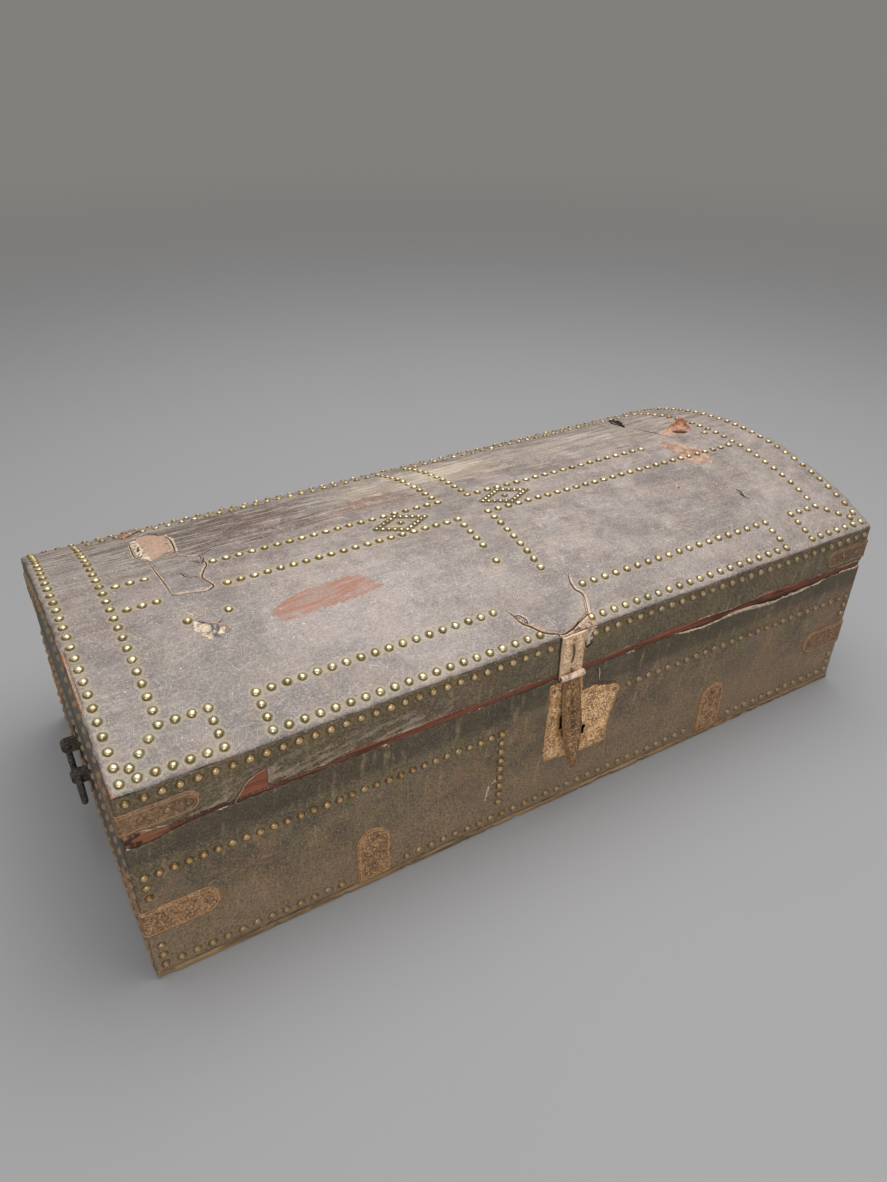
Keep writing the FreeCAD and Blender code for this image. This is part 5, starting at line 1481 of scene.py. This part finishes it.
def turned_about_pin(points):
    """Points turned with the blade, which hangs a little open, about the hasp pin's line."""
    middle = np.array([HASP_PLACE, HASP_LINE_Y, HASP_LINE_Z])
    return (points - middle) @ np.array(Matrix.Rotation(BLADE_TURN, 3, "X")).T + middle


def blade_seat(across, up, out):
    """The blade's own sheet, hung from the pin: across from its middle line, up below zero."""
    return turned_about_pin(points_at(
        HASP_PLACE + across, HASP_LINE_Y + BLADE_INNER - out, HASP_LINE_Z + up))


def barrel(start, end, radius, bore, seed):
    """A worn barrel round the hasp pin: rings from a bore out to its round side, with a fold
    line where the sheet meets itself."""
    places = np.linspace(start, end, max(6, int((end - start) / (0.9 * MM))))
    ends = np.concatenate([[start], [start], places, [end], [end]])
    angle = np.linspace(0, 2 * math.pi, 32, endpoint=False)
    bulge = 0.15 * MM * noise(places[:, None], angle * radius, 4 * MM, seed)
    outer = radius + bulge - 0.6 * MM * np.exp(-((angle - 2.6) / 0.16) ** 2)
    outer[[0, -1]] -= 0.4 * MM
    inner = bore + 0 * outer[:1]
    reach = np.concatenate([inner, outer[:1] - 0.3 * MM, outer, outer[-1:] - 0.3 * MM, inner])
    rings = points_at(ends[:, None], HASP_LINE_Y + reach * np.cos(angle),
                      HASP_LINE_Z + reach * np.sin(angle))
    return swept(np.concatenate([rings, rings[:1]]), caps=False)


def bar_along(line, across, up):
    """Rings of a bar along a line in a plane. Across and up are its section's two half sizes
    times the cosine and sine of a full turn: across stands out of the plane."""
    way = np.gradient(line, axis=0)
    way /= np.linalg.norm(way, axis=1)[:, None]
    return across + 0 * line[:, :1], line[:, :1] - way[:, 1:] * up, line[:, 1:] + way[:, :1] * up


class TRUNK_OT_lock(bpy.types.Operator):
    """Build the flaking lock plate with its slot and keyhole"""
    bl_idname = "trunk.lock"
    bl_label = "Lock Plate"

    def execute(self, context):
        wear, colours = choices(context)
        finish = rust_finish("plate_rust", opaque(colours.plate_rust), shade(144, 88, 46),
                             shade(255, 228, 176), 0.9)
        columns, rows = (spaced(*span, 1.0 * MM) for span in in_metres(PLATE_GRID))
        solid = iron_plate(on_front, plate_keep, columns, rows, LOCK_IRON - 0.3 * MM,
                           wear.pitting * 1.5, 205, 0.35, plate_flakes_and_shadow)
        add_piece("lock_plate_iron", solid, finish, "trunk_body", ["lock_plate"])
        return {"FINISHED"}


class TRUNK_OT_hasp(bpy.types.Operator):
    """Build the slotted hasp leaf with its rolled knuckles, and the blade with its staple"""
    bl_idname = "trunk.hasp"
    bl_label = "Hasp"

    def execute(self, context):
        wear, colours = choices(context)
        leaf_finish = rust_finish("leaf_rust", shade(242, 202, 156), shade(172, 120, 80),
                                  shade(255, 242, 210), 0.85)
        roll_finish = rust_finish("roll_rust", shade(238, 210, 186), shade(168, 136, 108),
                                  shade(255, 238, 220), 0.4)
        blade_finish = rust_finish("blade_rust", opaque(colours.hasp_rust), shade(88, 60, 40),
                                   shade(214, 164, 98), 0.6)
        low, high = extent("hasp_leaf")
        outer = -HALF_DEPTH - HASP_LINE_Y
        thickness = outer - PIN_RADIUS - 0.1 * MM
        leaf_top = high[2] - HASP_LINE_Z
        roll = 5.1 * outer
        tongue, tongue_top = 6.78 * MM, 4.1 * MM
        slot_middle, slot_long, slot_wide, slot_bow = 32 * MM, 15 * MM, 2.3 * MM, 3.0 * MM

        def leaf_keep(across, up):
            x = across - HASP_PLACE
            worn = 0.6 * MM * noise(across, up, 7 * MM, 221) * step(up, 0, 6 * MM)
            depth = np.minimum(HASP_HALF_WIDTH - np.abs(x), leaf_top - up) + worn - 0.2 * MM
            notch = np.minimum(tongue - np.abs(x), tongue_top - up)
            past = up - slot_middle
            bow = slot_bow * np.cos(past / (slot_long + 2 * MM) * math.pi / 2) - 1.0 * MM
            slot = np.minimum(slot_wide - np.abs(x - bow), slot_long - np.abs(past))
            return np.minimum(np.minimum(depth, up + roll), -np.maximum(notch, slot))

        def leaf_hollow(across, up):
            lower_right = step(across - HASP_PLACE, 2 * MM, 16 * MM) * step(-up, -30 * MM, -8 * MM)
            return 0.3 * lower_right * step(noise(across, up, 6 * MM, 223), -0.2, 0.6)
        span = low[0] - 2 * MM, high[0] + 2 * MM
        leaf_plate = iron_plate(
            hasp_seat, leaf_keep, spaced(*span, 0.8 * MM),
            spaced(2 * MM, leaf_top + 2 * MM, 0.9 * MM), thickness, wear.pitting * 0.8,
            222, 0.4, leaf_hollow)
        add_piece("hasp_leaf_iron", leaf_plate, leaf_finish, "lid", ["hasp_leaf"])
        rolled = cut_plate(
            hasp_seat, leaf_keep, spaced(*span, 1.1 * MM),
            spaced(-roll - 2 * MM, 2.9 * MM, 0.9 * MM),
            lambda x, y, depth: thickness - 0.1 * MM + 0.12 * MM * noise(x, y, 5 * MM, 224),
            lambda x, y, depth: 0 * x)
        add_piece("hasp_leaf_roll", rolled, roll_finish, "lid")

        def blade_keep(across, up):
            depth = depth_in(across / MM, up / MM, BLADE_OUTLINE) * MM
            return depth + 0.5 * MM * noise(across, up, 8 * MM, 231) - 0.2 * MM

        def ridge(across, up):
            """The blade's middle stands a little proud of its sides."""
            return 0.9 * MM * np.exp(-(across / (9 * MM)) ** 2) * step(-up, 4 * MM, 30 * MM) \
                - 0.3 * MM

        def lane(across, up):
            """A darker band down the blade's middle, below its neck."""
            return 0.52 * np.exp(-((across + 1 * MM) / (9 * MM)) ** 2) * step(
                -up, 18 * MM, 34 * MM) * step(up, -104 * MM, -70 * MM)
        blade = iron_plate(
            blade_seat, blade_keep, spaced(-19 * MM, 19 * MM, 0.8 * MM),
            spaced(-147 * MM, 2 * MM, 0.9 * MM), BLADE_IRON, wear.pitting, 232, 0.3, lane,
            swell=ridge)
        turn = np.linspace(0, 2 * math.pi, 12, endpoint=False)
        line = eased_line(np.array(STAPLE_PATH) * MM, 1.0 * MM)
        section = bar_along(line, 1.75 * MM * np.cos(turn) - 6 * MM, 1.2 * MM * np.sin(turn))
        staple = swept(blade_seat(section[0], section[2], section[1]))
        add_piece("hasp_blade_iron", joined([blade, staple]), blade_finish, "hasp",
                  ["hasp_blade"])
        half, radius = 6.4 * MM, 4.4 * MM
        points, faces, _ = barrel(HASP_PLACE - half, HASP_PLACE + half, radius,
                                  PIN_RADIUS + 0.1 * MM, 233)
        add_piece("hasp_blade_barrel", (turned_about_pin(points), faces, {}), roll_finish, "hasp")
        return {"FINISHED"}


class TRUNK_OT_handles(bpy.types.Operator):
    """Build the two drop handles and finish their eyes"""
    bl_idname = "trunk.handles"
    bl_label = "Handles"

    def execute(self, context):
        colours = context.scene.trunk_colours
        finish = rust_finish("black_iron", opaque(colours.black_iron), shade(40, 36, 34),
                             shade(112, 94, 78), 0.35)
        elbow, corner, end = 7 * MM, 12 * MM, 24.6 * MM
        turn = np.linspace(0, math.pi / 2, 10)
        around = np.linspace(0, 2 * math.pi, 20, endpoint=False)
        for side, name in ((-1, "left"), (1, "right")):
            low, high = extent(name + "_handle_bail")
            bar, line_x = (high[0] - low[0]) / 2, (low[0] + high[0]) / 2
            arm, level, grip = high[1] - bar, high[2] - bar, low[2] + bar
            half = np.array(
                [(end, level), (end * 0.5 + (arm - elbow) * 0.5, level)]
                + [(arm - elbow + elbow * math.sin(a), level - elbow + elbow * math.cos(a))
                   for a in turn]
                + [(arm, z) for z in np.linspace(level - elbow, grip + corner, 12)[1:-1]]
                + [(arm - corner + corner * math.cos(a), grip + corner - corner * math.sin(a))
                   for a in turn]
                + [((arm - corner) * share, grip) for share in (0.75, 0.5, 0.25)])
            line = eased_line(np.concatenate([half * (-1, 1), [(0, grip)], half[::-1]]), 1.6 * MM)
            travel = np.linspace(0, 1, len(line))[:, None]
            radius = bar * (0.97 + 0.03 * noise(travel * 60, around * 2, 3.0, 250 + side)) \
                * (1 - 0.1 * step(0.12 - np.abs(travel - 0.5), 0, 0.12))
            rings = np.stack(bar_along(line, line_x + radius * np.cos(around),
                                       radius * np.sin(around)), -1)
            add_piece(name + "_bail_iron", swept(rings), finish, name + "_handle",
                      [name + "_handle_bail"])
            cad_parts[name + "_handle_eyes"].material_slots[0].material = finish
        return {"FINISHED"}


def brass_finish(colours):
    """Domed nails: tarnish at the foot, worn bright on the crown with a painted highlight there
    too, brass on the lid, bronze on the front, and dull where the dull mark is high."""
    finish = Finish("brass")
    height, chance = finish.mark("height"), finish.mark("chance")
    bronze, dull = finish.mark("bronze"), finish.mark("dull")
    grime = finish.grain(2.6, 5, 0.7)
    # The crown grows paler with height: partly wear, partly painted highlight.
    rubbed_and_highlight = (height + (grime - 0.5) * 0.9 + (chance - 0.5) * 0.5).step(0.35, 0.95)
    finish.base = finish.mix(bronze, opaque(colours.brass_tarnish), opaque(colours.bronze_tarnish))
    finish.coat(rubbed_and_highlight, finish.mix(bronze, opaque(colours.brass), opaque(colours.bronze)))
    finish.coat((dull + chance * 0.5 + (grime - 0.5) * 0.6).step(0.4, 1.05) * 0.9,
                shade(156, 134, 104))
    finish.set("Base Color", finish.base)
    finish.set("Metallic", 0.72 - dull * 0.4)
    finish.set("Roughness", 0.4 - rubbed_and_highlight * 0.16 + dull * 0.05)
    finish.bump(grime, 0.3, 0.7)
    return finish.material


class TRUNK_OT_nails(bpy.types.Operator):
    """Build the domed brass nails and the low iron nails"""
    bl_idname = "trunk.nails"
    bl_label = "Nails"

    def execute(self, context):
        wear, colours = choices(context)
        brass = brass_finish(colours)
        iron = rust_finish("nail_rust", shade(158, 122, 92), shade(88, 62, 44),
                           shade(206, 172, 136), 0.4)
        for order, node in enumerate(BRASS_NODES + IRON_NODES):
            is_iron = node in IRON_NODES
            rise = HEAD_RISE.get(node, USUAL_RISE) * MM
            solid = nail_heads(node, rise, wear.nail_tilt, 300 + order)
            add_piece(node + "_heads", solid, iron if is_iron else brass,
                      "lid" if node.startswith("lid") else "trunk_body",
                      [node])
        return {"FINISHED"}


# Wood

def wood_finish(name, main, dark, light, shaded=False):
    """Bare wood with grain along X, dirt and worn places. Shaded wood is darker below the front lip
    towards the right, has a painted shadow line along the seam under the lid's flange, and is fresh
    and orange near the left end."""
    finish = Finish(name)
    rings = finish.grain(5, 6, 0.65, 0.6, 0.05)
    fibre = finish.grain(1.6, 4, 0.7, 0.0, 0.03)
    patches = finish.grain(45, 4, 0.6)
    finish.base = dark
    finish.coat(rings.step(0.38, 0.58), main)
    finish.coat(fibre.step(0.45, 0.7) * 0.55, light)
    finish.coat(patches.step(0.55, 0.75) * 0.5, dark)
    if shaded:
        x, z = finish.x, finish.z
        fresh = x.step(-0.485, -0.51)
        finish.coat(fresh * 0.6, shade(196, 134, 90))
        finish.coat(finish.lines(0.1, 40, 3, 0.5, 0.58, 4) * fresh * 0.85, HOLLOW_AND_SHADOW)
        # Painted shadow: a dark line along the seam, under the lid's flange.
        finish.coat(z.step(SEAM + 0.8 * MM, SEAM - 0.8 * MM) * 0.45, HOLLOW_AND_SHADOW)
        below = z.step(BODY_TOP + 0.4 * MM, BODY_TOP - 1.2 * MM) * x.step(-0.3, -0.1)
        finish.coat(below * 0.75, shade(50, 34, 28))
    finish.set("Base Color", finish.base)
    finish.set("Roughness", finish.add("ShaderNodeMapRange", None, {
        "Value": fibre, "To Min": 0.6, "To Max": 0.88}))
    finish.bump(fibre * 0.6 + rings * 0.6, 0.5, 0.8)
    return finish.material


def rim_plan(half_x, half_y, corner, pitch):
    """A rectangle with round corners from the middle of the world, as points about a pitch apart,
    and the way that is outward at each: four sides in turn, each with the corner after it."""
    outer = np.array([half_x, half_y])
    inner = outer - corner
    turn = np.linspace(0, math.pi / 2, 5)[1:-1, None]
    ways = np.array([(0, -1), (1, 0), (0, 1), (-1, 0)])
    plan, away = [], []
    for way, next_way in zip(ways, np.roll(ways, -1, 0)):
        half = np.abs(next_way) @ inner
        travel = spaced(-half, half, pitch)[:, None]
        bend = np.cos(turn) * way + np.sin(turn) * next_way
        plan += [way * outer + travel * next_way, (way + next_way) * inner + bend * corner]
        away += [np.broadcast_to(way, (len(travel), 2)), bend]
    return np.concatenate(plan), np.concatenate(away)


# The floor board's edge as places inwards and up, in millimetres

BOARD_EDGE = [(-3.0, 0), (-0.8, 0.0), (-0.1, 0.9), (0.0, 2.6), (0.0, 4.6), (-0.1, 6.6),
              (-0.8, 8.0), (-3.0, 8.0)]


class TRUNK_OT_wood(bpy.types.Operator):
    """Build the chipped floor board and the worn front lip, and finish the other boards"""
    bl_idname = "trunk.wood"
    bl_label = "Wood"

    def execute(self, context):
        colours = context.scene.trunk_colours
        wood = wood_finish("bare_wood", opaque(colours.wood), shade(84, 44, 32),
                           shade(190, 126, 88), True)
        rim = wood_finish("rim_wood", opaque(colours.rim_wood), shade(84, 66, 46),
                          shade(172, 150, 112))
        half_x, half_y, _ = extent("floor_board")[1]
        pitch = 2.5 * MM
        plan, away = rim_plan(half_x, half_y, 2 * MM, pitch)
        profile = np.array(BOARD_EDGE) * MM
        travel = np.arange(len(plan))[:, None] * pitch
        chips = step(noise(travel, profile[:, 1], 18 * MM, 401), 0.15, 0.8)
        chip = -1.9 * MM * chips - 0.5 * MM * noise(travel, profile[:, 1], 6 * MM, 402) ** 2
        reach = profile[:, 0] + np.where(profile[:, 0] < -2 * MM, 0, chip)
        spot = plan[:, None] + away[:, None] * reach[..., None]
        rings = points_at(spot[..., 0], spot[..., 1], profile[:, 1]).transpose(1, 0, 2)
        add_piece("floor_board_wood", swept(rings), rim, "trunk_body",
                  ["floor_board"])

        low, high = extent("front_lip")
        across, up = np.meshgrid(spaced(low[0], high[0], 3 * MM), np.linspace(low[2], high[2], 7),
                                 indexing="ij")
        rim_gap = np.minimum(up - low[2], high[2] - up)
        out = -HALF_DEPTH - low[1] - 0.5 * MM * (1 + noise(across, up * 0, 20 * MM, 411)) \
            - 1.2 * MM * np.exp(-(rim_gap / (1.2 * MM)) ** 2)
        solid = closed_sheet(on_front, across, up, out, -(HALF_DEPTH + high[1]))
        add_piece("front_lip_wood", solid, wood, "trunk_body", ["front_lip"])
        for name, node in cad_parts.items():
            if node.material_slots[0].material.name.startswith("board_wood"):
                node.material_slots[0].material = wood
        return {"FINISHED"}


class TRUNK_OT_small_iron(bpy.types.Operator):
    """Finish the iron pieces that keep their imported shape: hinges, pins, lock case and bolt"""
    bl_idname = "trunk.small_iron"
    bl_label = "Hinges, Pins and Lock Case"

    def execute(self, context):
        colours = context.scene.trunk_colours
        strap = rust_finish("hinge_rust", opaque(colours.strap_rust), shade(92, 68, 50),
                            shade(176, 144, 114))
        dark = rust_finish("case_rust", shade(92, 70, 54), shade(52, 40, 32), shade(132, 104, 80))
        for name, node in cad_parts.items():
            if "hinge" in name:
                node.material_slots[0].material = strap
            elif name in ("lock_case", "lock_bolt", "hasp_pin"):
                node.material_slots[0].material = dark
        return {"FINISHED"}


class TRUNK_OT_stage(bpy.types.Operator):
    """Set the floor, the soft lamps and the camera"""
    bl_idname = "trunk.stage"
    bl_label = "Stage"

    def execute(self, context):
        setup = context.scene.trunk_stage
        finish = Finish("studio_floor")
        black = shade(0, 0, 0)
        far = finish.length(finish.place).step(1.4, 6) * finish.shown()
        near = finish.mix(finish.grain(400, 3) * 0.25, opaque(setup.floor), shade(140, 141, 143))
        finish.set("Base Color", finish.mix(far, near, black))
        finish.set("Emission Color", finish.mix(far, black, opaque(setup.backdrop)))
        finish.set("Emission Strength", 1.0)
        finish.set("Specular IOR Level", 0.0)
        finish.set("Roughness", 0.75)
        reach, level = 400.0, -0.5 * MM
        mesh = bpy.data.meshes.new("studio_floor")
        mesh.from_pydata([(x * reach, y * reach, level) for x, y in
                          ((-1, -1), (1, -1), (1, 1), (-1, 1))], [], [(0, 1, 2, 3)])
        mesh.materials.append(finish.material)
        floor = in_scene("studio_floor", mesh)

        scene = context.scene
        world = bpy.data.worlds.new("studio")
        scene.world = world
        world.use_nodes = True
        sky = Nodes(world.node_tree)
        light = sky.add("ShaderNodeBackground", None, {
            "Color": shade(250, 250, 252), "Strength": setup.fill})
        seen = sky.add("ShaderNodeBackground", None, {"Color": opaque(setup.backdrop)})
        both = sky.add("ShaderNodeMixShader", None, {0: sky.shown(), 1: light, 2: seen})
        sky.wire(sky.tree.nodes["World Output"].inputs["Surface"], both)
        sky.tree.nodes.remove(sky.tree.nodes["Background"])

        for name, place, target, size, power in (
                ("overhead_lamp", (0.3, 0.1, 2.4), (0.1, -0.1, 0.25), 2.2, setup.lamp_power),
                ("front_lamp", (-1.1, -2.4, 1.4), (0, 0, 0.15), 1.4, setup.lamp_power * 0.34)):
            lamp = bpy.data.lights.new(name, "AREA")
            lamp.energy = power
            lamp.shape = "SQUARE"
            lamp.size = size
            holder = in_scene(name, lamp)
            holder.location = place
            holder.rotation_euler = (Vector(target) - Vector(place)).to_track_quat(
                "-Z", "Y").to_euler()

        lens = bpy.data.cameras.new("camera")
        lens.lens = setup.camera_lens
        lens.sensor_width = 36
        camera = in_scene("camera", lens)
        heading, dip = setup.camera_heading, setup.camera_dip
        forward = Vector((math.sin(heading) * math.cos(dip), math.cos(heading) * math.cos(dip),
                          -math.sin(dip)))
        level = Vector((math.cos(heading), -math.sin(heading), 0))
        right = Matrix.Rotation(-setup.camera_roll, 3, forward) @ level
        upward = right.cross(forward)
        turn = Matrix((right, upward, -forward)).transposed()
        camera.matrix_world = Matrix.Translation(Vector(setup.camera_place)) @ turn.to_4x4()
        scene.camera = camera
        scene.view_settings.view_transform = "Standard"
        return {"FINISHED"}


OPERATORS = [TRUNK_OT_lid_top, TRUNK_OT_wall_leather, TRUNK_OT_torn_edges, TRUNK_OT_straps,
             TRUNK_OT_lock, TRUNK_OT_hasp, TRUNK_OT_handles, TRUNK_OT_nails, TRUNK_OT_wood,
             TRUNK_OT_small_iron, TRUNK_OT_stage]


class TRUNK_PT_panel(bpy.types.Panel):
    """The trunk's steps, colours, wear and stage, in the sidebar."""
    bl_idname = "TRUNK_PT_panel"
    bl_label = "Studded Trunk"
    bl_space_type = "VIEW_3D"
    bl_region_type = "UI"
    bl_category = "Trunk"

    def draw(self, context):
        for operator in OPERATORS:
            self.layout.operator(operator.bl_idname)
        for group in (context.scene.trunk_colours, context.scene.trunk_wear,
                      context.scene.trunk_stage):
            box = self.layout.box()
            for name in group.bl_rna.properties.keys():
                if name not in ("rna_type", "name"):
                    box.prop(group, name)


GROUPS = {"trunk_colours": TrunkColours, "trunk_wear": TrunkWear, "trunk_stage": TrunkStage}


def register():
    """Registers the classes and hangs their settings on the scene."""
    for item in [*GROUPS.values(), *OPERATORS, TRUNK_PT_panel]:
        bpy.utils.register_class(item)
    for name, group in GROUPS.items():
        setattr(bpy.types.Scene, name, bpy.props.PointerProperty(type=group))


def unregister():
    """Takes the settings and classes away again."""
    for name in GROUPS:
        delattr(bpy.types.Scene, name)
    for item in reversed([*GROUPS.values(), *OPERATORS, TRUNK_PT_panel]):
        bpy.utils.unregister_class(item)


def main():
    """Runs every step in order."""
    register()
    for operator in OPERATORS:
        group, name = operator.bl_idname.split(".")
        getattr(getattr(bpy.ops, group), name)()
    bpy.context.view_layer.update()
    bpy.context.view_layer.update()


if __name__ == "__main__":
    main()
